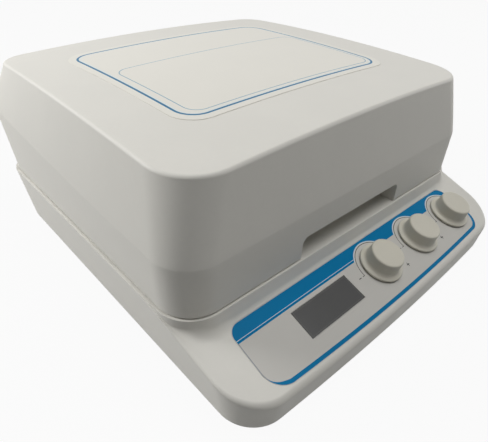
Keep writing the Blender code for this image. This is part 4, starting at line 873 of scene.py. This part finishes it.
def makeBase():
    f = baseForm
    rings, pairs, onWall = baseRings()
    base = linkMesh("baseHousing", *skin(rings), "shellPlastic")
    # inside: the same walls, set in by their thickness
    hollowRings = [mirrorRing([onWall(p, z, f["wall"]) for p, *_ in pairs]) for z in (0.0, 12.0)]
    hollowRings.append(mirrorRing([onWall(p, topHeight(onWall(p, 40.0, f["wall"])[1]) - f["wall"], f["wall"]) for p, *_ in pairs]))
    hollow = linkMesh("housingHollow", *skin(hollowRings))
    bores = joined(*(shifted(prism(circle(r), 40.0, 60.0), x, y) for x, y, r in f["bores"]))
    rear = joined(*(shifted(prism(roundedOutline(w, h, 0.6, 3), -9.0, 3.0), -x) for x, w, h in f["rearHoles"]))
    p, d = panelPrint, displayFinish
    window = prism(roundedOutline(2 * (d["half"][0] - f["ledge"]), 2 * (d["half"][1] - f["ledge"]), 0.5, 3), -9.0, 3.0)
    bushes = [shifted(prism(circle(f["bush"]), -9.0, 3.0), p["knobFirst"] + i * p["knobPitch"], -p["knobDown"]) for i in range(3)]
    holes = joined(shifted(window, d["middle"][0], -d["middle"][1]), *bushes)
    film = halfOutline(p["half"], p["bow"] - p["length"], 0.0, p["cornerFront"], p["cornerBack"], -15.0, p["bow"])
    grown = [[(x + nx * f["recessGap"], y + ny * f["recessGap"], z) for x, y, nx, ny in film] for z in (-f["recess"], 6.0)]
    recess = skin([mirrorRing(half) for half in grown])
    carve(
        base,
        ("DIFFERENCE", hollow),
        ("DIFFERENCE", linkMesh("deckBores", *bores)),
        ("DIFFERENCE", linkMesh("rearHoles", *moved(rear, rearFrame))),
        ("DIFFERENCE", linkMesh("filmRecess", *moved(recess, panelFrame))),
        ("DIFFERENCE", linkMesh("panelHoles", *moved(holes, panelFrame))),
    )
    return settle(soften(base), "base", "shell", "base_housing")


makeBase()
makeLid()
makeLabel()
print("shells: base, lid and label made")


# knobs: a wide thin skirt that sweeps up into a drafted cap with a soft upper edge and a shallow dish
knobForm = {
    "lift": 1.0, "skirtRadius": 15.9, "rim": 1.5, "skirt": 2.8, "capFoot": 12.6, "capTop": 12.1, "height": 12.8, "bore": 3.3, "crown": 3.0,
    "underRound": 0.35, "rimRound": 0.55, "sweep": 1.9, "topRound": 1.4, "dish": 0.12,
}


def makeKnobs():
    f, p = knobForm, panelPrint
    low, high = f["lift"], f["lift"] + f["height"]
    profile = rounded([
        (0.0, high - f["crown"], 0.0), (f["bore"], high - f["crown"], 0.0), (f["bore"], low, 0.2),
        (f["skirtRadius"], low, f["underRound"]), (f["skirtRadius"], low + f["rim"], f["rimRound"]),
        (f["capFoot"], low + f["skirt"], f["sweep"]), (f["capTop"], high, f["topRound"]),
        (f["capTop"] * 0.55, high - f["dish"], 2.0), (0.0, high - f["dish"], 0.0),
    ])
    for i in range(3):
        place = panelFrame @ Matrix.Translation(Vector((p["knobFirst"] + i * p["knobPitch"], -p["knobDown"], 0.0)) * mm)
        knob = linkMesh(f"knob{i + 1}", *moved(turned(profile), place), "knobPlastic")
        settle(soften(knob, 50.0, False), f"knob_{i + 1}", "knob", f"knob_{i + 1}")


makeKnobs()
print("knobs: three turned")


# screws and feet repeat, so a node tree sets them out
def newTree(name, sockets):
    tree = bpy.data.node_groups.new(name, "GeometryNodeTree")
    tree.interface.new_socket(name="Geometry", in_out="OUTPUT", socket_type="NodeSocketGeometry")
    tree.interface.new_socket(name="Geometry", in_out="INPUT", socket_type="NodeSocketGeometry")
    for title, kind in sockets:
        tree.interface.new_socket(name=title, in_out="INPUT", socket_type=kind)
    return tree


def node(tree, kind, settings=None, values=None):
    made = tree.nodes.new(kind)
    for name, value in (settings or {}).items():
        setattr(made, name, value)
    for key, value in (values or {}).items():
        if isinstance(value, bpy.types.NodeSocket):
            tree.links.new(value, made.inputs[key])
        else:
            made.inputs[key].default_value = value
    return made


def setOut(name, points, tree, values, body, slot, *nodes):
    made = linkMesh(name, [Vector(p) * mm for p in points], [])
    modifier = made.modifiers.new(name, "NODES")
    modifier.node_group = tree
    titles = {item.name: item.identifier for item in tree.interface.items_tree if item.in_out == "INPUT"}
    for title, value in values.items():
        modifier[titles[title]] = value
    bake(made)
    return settle(soften(made, 35.0), body, slot, *nodes)


screwForm = {
    "Head Radius": 3.6 * mm, "Head Height": 2.0 * mm, "Slot Width": 0.95 * mm, "Slot Depth": 1.1 * mm, "Shank Radius": 1.7 * mm, "Tilt": 0.0,
}


def screwTree():
    length = "NodeSocketFloat"
    tree = newTree("panHeadScrews", [*((title, length) for title in screwForm), ("Finish", "NodeSocketMaterial")])
    given = tree.nodes.new("NodeGroupInput").outputs

    def maths(operation, a, b):
        return node(tree, "ShaderNodeMath", {"operation": operation}, {0: a, 1: b}).outputs[0]

    def vector(**parts):
        return node(tree, "ShaderNodeCombineXYZ", None, parts).outputs[0]

    radius, height, slot, deep, shank, tilt = (given[title] for title in screwForm)
    ball = node(tree, "GeometryNodeMeshUVSphere", None, {"Segments": 40, "Rings": 20, "Radius": radius}).outputs["Mesh"]
    flat = maths("DIVIDE", height, radius)
    dome = node(tree, "GeometryNodeTransform", None, {"Geometry": ball, "Scale": vector(X=1.0, Y=1.0, Z=flat)}).outputs[0]
    size = maths("MULTIPLY", radius, 4.0)
    above = node(tree, "GeometryNodeMeshCube", None, {"Size": vector(X=size, Y=size, Z=size)}).outputs["Mesh"]
    lifted = node(tree, "GeometryNodeTransform", None, {"Geometry": above, "Translation": vector(Z=maths("DIVIDE", size, 2.0))}).outputs[0]
    arms = []
    long = maths("MULTIPLY", radius, 1.15)
    for sides in ({"X": long, "Y": slot}, {"X": slot, "Y": long}):
        arm = node(tree, "GeometryNodeMeshCube", None, {"Size": vector(Z=maths("MULTIPLY", deep, 2.0), **sides)}).outputs["Mesh"]
        down = vector(Z=maths("MULTIPLY", height, -1.0))
        arms.append(node(tree, "GeometryNodeTransform", None, {"Geometry": arm, "Translation": down}).outputs[0])
    head = node(tree, "GeometryNodeMeshBoolean", {"operation": "DIFFERENCE"}, {"Mesh 1": dome})
    for tool in (lifted, *arms):
        tree.links.new(tool, head.inputs["Mesh 2"])
    pin = node(tree, "GeometryNodeMeshCylinder", None, {"Vertices": 24, "Radius": shank, "Depth": height}).outputs["Mesh"]
    inset = vector(Z=maths("MULTIPLY", height, 0.45))
    pin = node(tree, "GeometryNodeTransform", None, {"Geometry": pin, "Translation": inset}).outputs[0]
    whole = node(tree, "GeometryNodeJoinGeometry")
    for part in (head.outputs[0], pin):
        tree.links.new(part, whole.inputs[0])
    copies = node(tree, "GeometryNodeInstanceOnPoints", None, {
        "Points": given["Geometry"], "Instance": whole.outputs[0], "Rotation": vector(X=tilt),
    }).outputs[0]
    angle = node(tree, "FunctionNodeRandomValue", {"data_type": "FLOAT"}, {"Min": 0.0, "Max": 1.5, "Seed": 7})
    spin = vector(Z=[o for o in angle.outputs if o.enabled][0])
    copies = node(tree, "GeometryNodeRotateInstances", None, {"Instances": copies, "Rotation": spin, "Local Space": True}).outputs[0]
    real = node(tree, "GeometryNodeRealizeInstances", None, {"Geometry": copies}).outputs[0]
    done = node(tree, "GeometryNodeSetMaterial", None, {"Geometry": real, "Material": given["Finish"]}).outputs[0]
    node(tree, "NodeGroupOutput", None, {0: done})
    return tree


footForm = {"Radius": 10.0 * mm, "Height": 3.7 * mm, "Taper": 1.0 * mm, "Ridge": 0.35 * mm}


def footTree():
    length = "NodeSocketFloat"
    tree = newTree("rubberFeet", [*((title, length) for title in footForm), ("Finish", "NodeSocketMaterial")])
    given = tree.nodes.new("NodeGroupInput").outputs

    def maths(operation, a, b):
        return node(tree, "ShaderNodeMath", {"operation": operation}, {0: a, 1: b}).outputs[0]

    def vector(**parts):
        return node(tree, "ShaderNodeCombineXYZ", None, parts).outputs[0]

    radius, height, taper, ridge = (given[title] for title in footForm)
    top = maths("SUBTRACT", radius, taper)
    chamfer = maths("MULTIPLY", ridge, 2.0)
    parts = []
    body = node(tree, "GeometryNodeMeshCone", None, {
        "Vertices": 64, "Radius Top": top, "Radius Bottom": radius, "Depth": maths("SUBTRACT", height, chamfer),
    }).outputs["Mesh"]
    parts.append(node(tree, "GeometryNodeTransform", None, {"Geometry": body, "Translation": vector(Z=chamfer)}).outputs[0])
    lip = node(tree, "GeometryNodeMeshCone", None, {
        "Vertices": 64, "Radius Top": radius, "Radius Bottom": maths("SUBTRACT", radius, chamfer), "Depth": maths("SUBTRACT", chamfer, ridge),
    }).outputs["Mesh"]
    parts.append(node(tree, "GeometryNodeTransform", None, {"Geometry": lip, "Translation": vector(Z=ridge)}).outputs[0])
    profile = node(tree, "GeometryNodeCurvePrimitiveCircle", None, {"Resolution": 10, "Radius": ridge}).outputs["Curve"]
    for share in (0.3, 0.5, 0.7, 0.88):  # ridges under the sole
        path = node(tree, "GeometryNodeCurvePrimitiveCircle", None, {"Resolution": 64, "Radius": maths("MULTIPLY", top, share)}).outputs["Curve"]
        bead = node(tree, "GeometryNodeCurveToMesh", None, {"Curve": path, "Profile Curve": profile}).outputs[0]
        parts.append(node(tree, "GeometryNodeTransform", None, {"Geometry": bead, "Translation": vector(Z=ridge)}).outputs[0])
    whole = node(tree, "GeometryNodeJoinGeometry")
    for part in parts:
        tree.links.new(part, whole.inputs[0])
    copies = node(tree, "GeometryNodeInstanceOnPoints", None, {"Points": given["Geometry"], "Instance": whole.outputs[0]}).outputs[0]
    real = node(tree, "GeometryNodeRealizeInstances", None, {"Geometry": copies}).outputs[0]
    done = node(tree, "GeometryNodeSetMaterial", None, {"Geometry": real, "Material": given["Finish"]}).outputs[0]
    node(tree, "NodeGroupOutput", None, {0: done})
    return tree


def corners(halfX, front, back, z):
    return [(sx * halfX, y, z) for y in (front, back) for sx in (-1, 1)]


screws = screwTree()
steel = {**screwForm, "Finish": looks["platedSteel"]}
setOut("bottomScrews", corners(126.84, -114.98, 123.86, 3.7), screws, steel, "base", "steel", *(f"bottom_screw_{i}" for i in range(1, 5)))
setOut("lidScrews", corners(105.96, -50.08, 101.98, 133.2), screws, steel, "lid", "steel", *(f"lid_screw_{i}" for i in range(1, 5)))
hingeScrews = {"head": (2.7, 1.3, 0.75, 0.7, 1.4), "hinge": 95.0, "apart": 14.0}
small = {**steel, **{title: size * mm for title, size in zip(screwForm, hingeScrews["head"])}}
hingeXs = [sx * hingeScrews["hinge"] + dx for sx in (-1, 1) for dx in (-hingeScrews["apart"], hingeScrews["apart"])]
for name, body, y, z, tilt in (("leafScrews", "lid", 153.62, 71.0, 68.8), ("bracketScrews", "base", 146.71, 33.0, 79.24)):
    setOut(name, [(x, y, z) for x in hingeXs], screws, {**small, "Tilt": math.radians(tilt)}, body, "steel")
rubber = {**footForm, "Finish": looks["footRubber"]}
setOut("rubberFeet", corners(111.84, -128.98, 108.86, 0.0), footTree(), rubber, "base", "rubber", *(f"foot_{i}" for i in range(1, 5)))
print("fasteners: screws and feet set out")


# hard parts keep the solids' shape, with eased edges and smooth rounds
easedParts = [
    ("plate_tray", "tray", "aluminium", "satinAluminium", 0.35),
    ("lid_heater_plate", "lid", "aluminium", "satinAluminium", 0.25),
    ("power_inlet", "base", "black", "blackPlastic", 0.3),
    ("switch_frame", "base", "black", "blackPlastic", 0.3),
    ("power_rocker", "rocker", "black", "blackPlastic", 0.4),
    *((f"hinge_leaf_{i}", "lid", "steel", "platedSteel", 0.25) for i in (1, 2)),
    *((f"hinge_bracket_{i}", "base", "steel", "platedSteel", 0.25) for i in (1, 2)),
    *((f"hinge_pin_{i}", "base", "steel", "platedSteel", 0.3) for i in (1, 2)),
]


def easeEdges(source, body, slot, look, width):
    work = bmesh.new()
    work.from_mesh(cadNodes[source].data)
    bmesh.ops.remove_doubles(work, verts=work.verts, dist=1e-6)
    bmesh.ops.dissolve_limit(work, angle_limit=math.radians(1.0), verts=work.verts, edges=work.edges)
    words = source.split("_")
    made = linkMesh(words[0] + "".join(word.title() for word in words[1:]), [], [], None)
    work.to_mesh(made.data)
    work.free()
    made.data.materials.append(looks[look])
    bevel = made.modifiers.new("easedEdges", "BEVEL")
    bevel.width = width * mm
    bevel.segments = 2
    bevel.limit_method = "ANGLE"
    bevel.angle_limit = math.radians(40)
    bake(made)
    return settle(soften(made, 35.0), body, slot, source)


for part in easedParts:
    easeEdges(*part)
print(f"hard parts: {len(easedParts)} eased")


# solids that stay as they are get the finish of their kind
plainParts = {
    "panelPrint": ["control_overlay"],
    "smokedWindow": ["display_window"],
    "platedSteel": ["bottom_plate", "motor_bracket", "spindle_bearing", "drive_eccentric", "encoder_", "idler_1", "idler_2", "idler_3", "idler_4"],
    "turnedBrass": ["idler_bush", "knob_shaft"],
    "blackPlastic": ["display_module", "drive_motor"],
    "circuitBoard": ["control_board", "power_board"],
    "heaterSilicone": ["heater_pad"],
}
for look, starts in plainParts.items():
    for name, made in cadNodes.items():
        if name.startswith(tuple(starts)):
            made.data.materials.clear()
            made.data.materials.append(looks[look])
print("solids: finishes put on")


# studio: pale floor, white surroundings, a soft lamp overhead, one behind the left side and a weak fill
studio = {
    "floor": (0.35, 0.35, 0.3465), "floorHalf": 8.0, "floorWhite": 0.94, "sky": 0.055,
    "lamps": {
        "overheadLamp": {"place": (0.14, -0.33, 1.38), "aim": (0.0, 0.0, 0.09), "size": 0.9, "power": 10.6},
        "sideLamp": {"place": (-0.8, 0.74, 0.62), "aim": (0.0, 0.0, 0.09), "size": 0.42, "power": 10.2},
        "fillLamp": {"place": (1.25, -0.55, 0.45), "aim": (0.0, 0.0, 0.07), "size": 0.8, "power": 2.0},
    },
}


def seenShare(look):  # 1 for what the eye, a mirror or glass sees
    path = look.add("ShaderNodeLightPath")
    outs = path.socket.node.outputs
    seen = [Wire(look, outs[title]) for title in ("Is Camera Ray", "Is Glossy Ray", "Is Transmission Ray")]
    return look.either(*seen)


def makeStudio(s):
    half = s["floorHalf"]
    floor = linkMesh("benchTop", [(x, y, -0.0002) for x, y in ((-half, -half), (half, -half), (half, half), (-half, half))], [(0, 1, 2, 3)])
    look = Look("paleBench")
    shader = look.tree.nodes["Principled BSDF"]
    cloud = look.noise(260.0, 2.0)
    look.close(colour=look.mix(cloud * 0.4, s["floor"], [c * 1.02 for c in s["floor"]]), rough=0.75)
    white = look.add("ShaderNodeEmission", None, {"Color": (1.0, 1.0, 1.0), "Strength": 1.0})
    share = look.add("ShaderNodeMixShader", None, {0: seenShare(look) * s["floorWhite"], 1: Wire(look, shader.outputs[0]), 2: white})
    look.tree.links.new(share.socket, look.tree.nodes["Material Output"].inputs["Surface"])
    floor.data.materials.append(look.material)

    world = bpy.data.worlds.new("paleRoom")
    world.use_nodes = True
    scene.world = world
    sky = Look("paleRoom", world.node_tree)
    background = world.node_tree.nodes["Background"]
    background.inputs["Color"].default_value = (1.0, 1.0, 1.0, 1.0)
    sky.plug(background.inputs["Strength"], seenShare(sky) * (1.0 - s["sky"]) + s["sky"])

    for name, lamp in s["lamps"].items():
        light = bpy.data.lights.new(name, "AREA")
        light.energy = lamp["power"]
        light.size = lamp["size"]
        made = bpy.data.objects.new(name, light)
        made.location = lamp["place"]
        made.rotation_mode = "QUATERNION"
        made.rotation_quaternion = (Vector(lamp["aim"]) - Vector(lamp["place"])).to_track_quat("-Z", "Y")
        scene.collection.objects.link(made)


makeStudio(studio)
print("studio: floor, surroundings and lamps set")
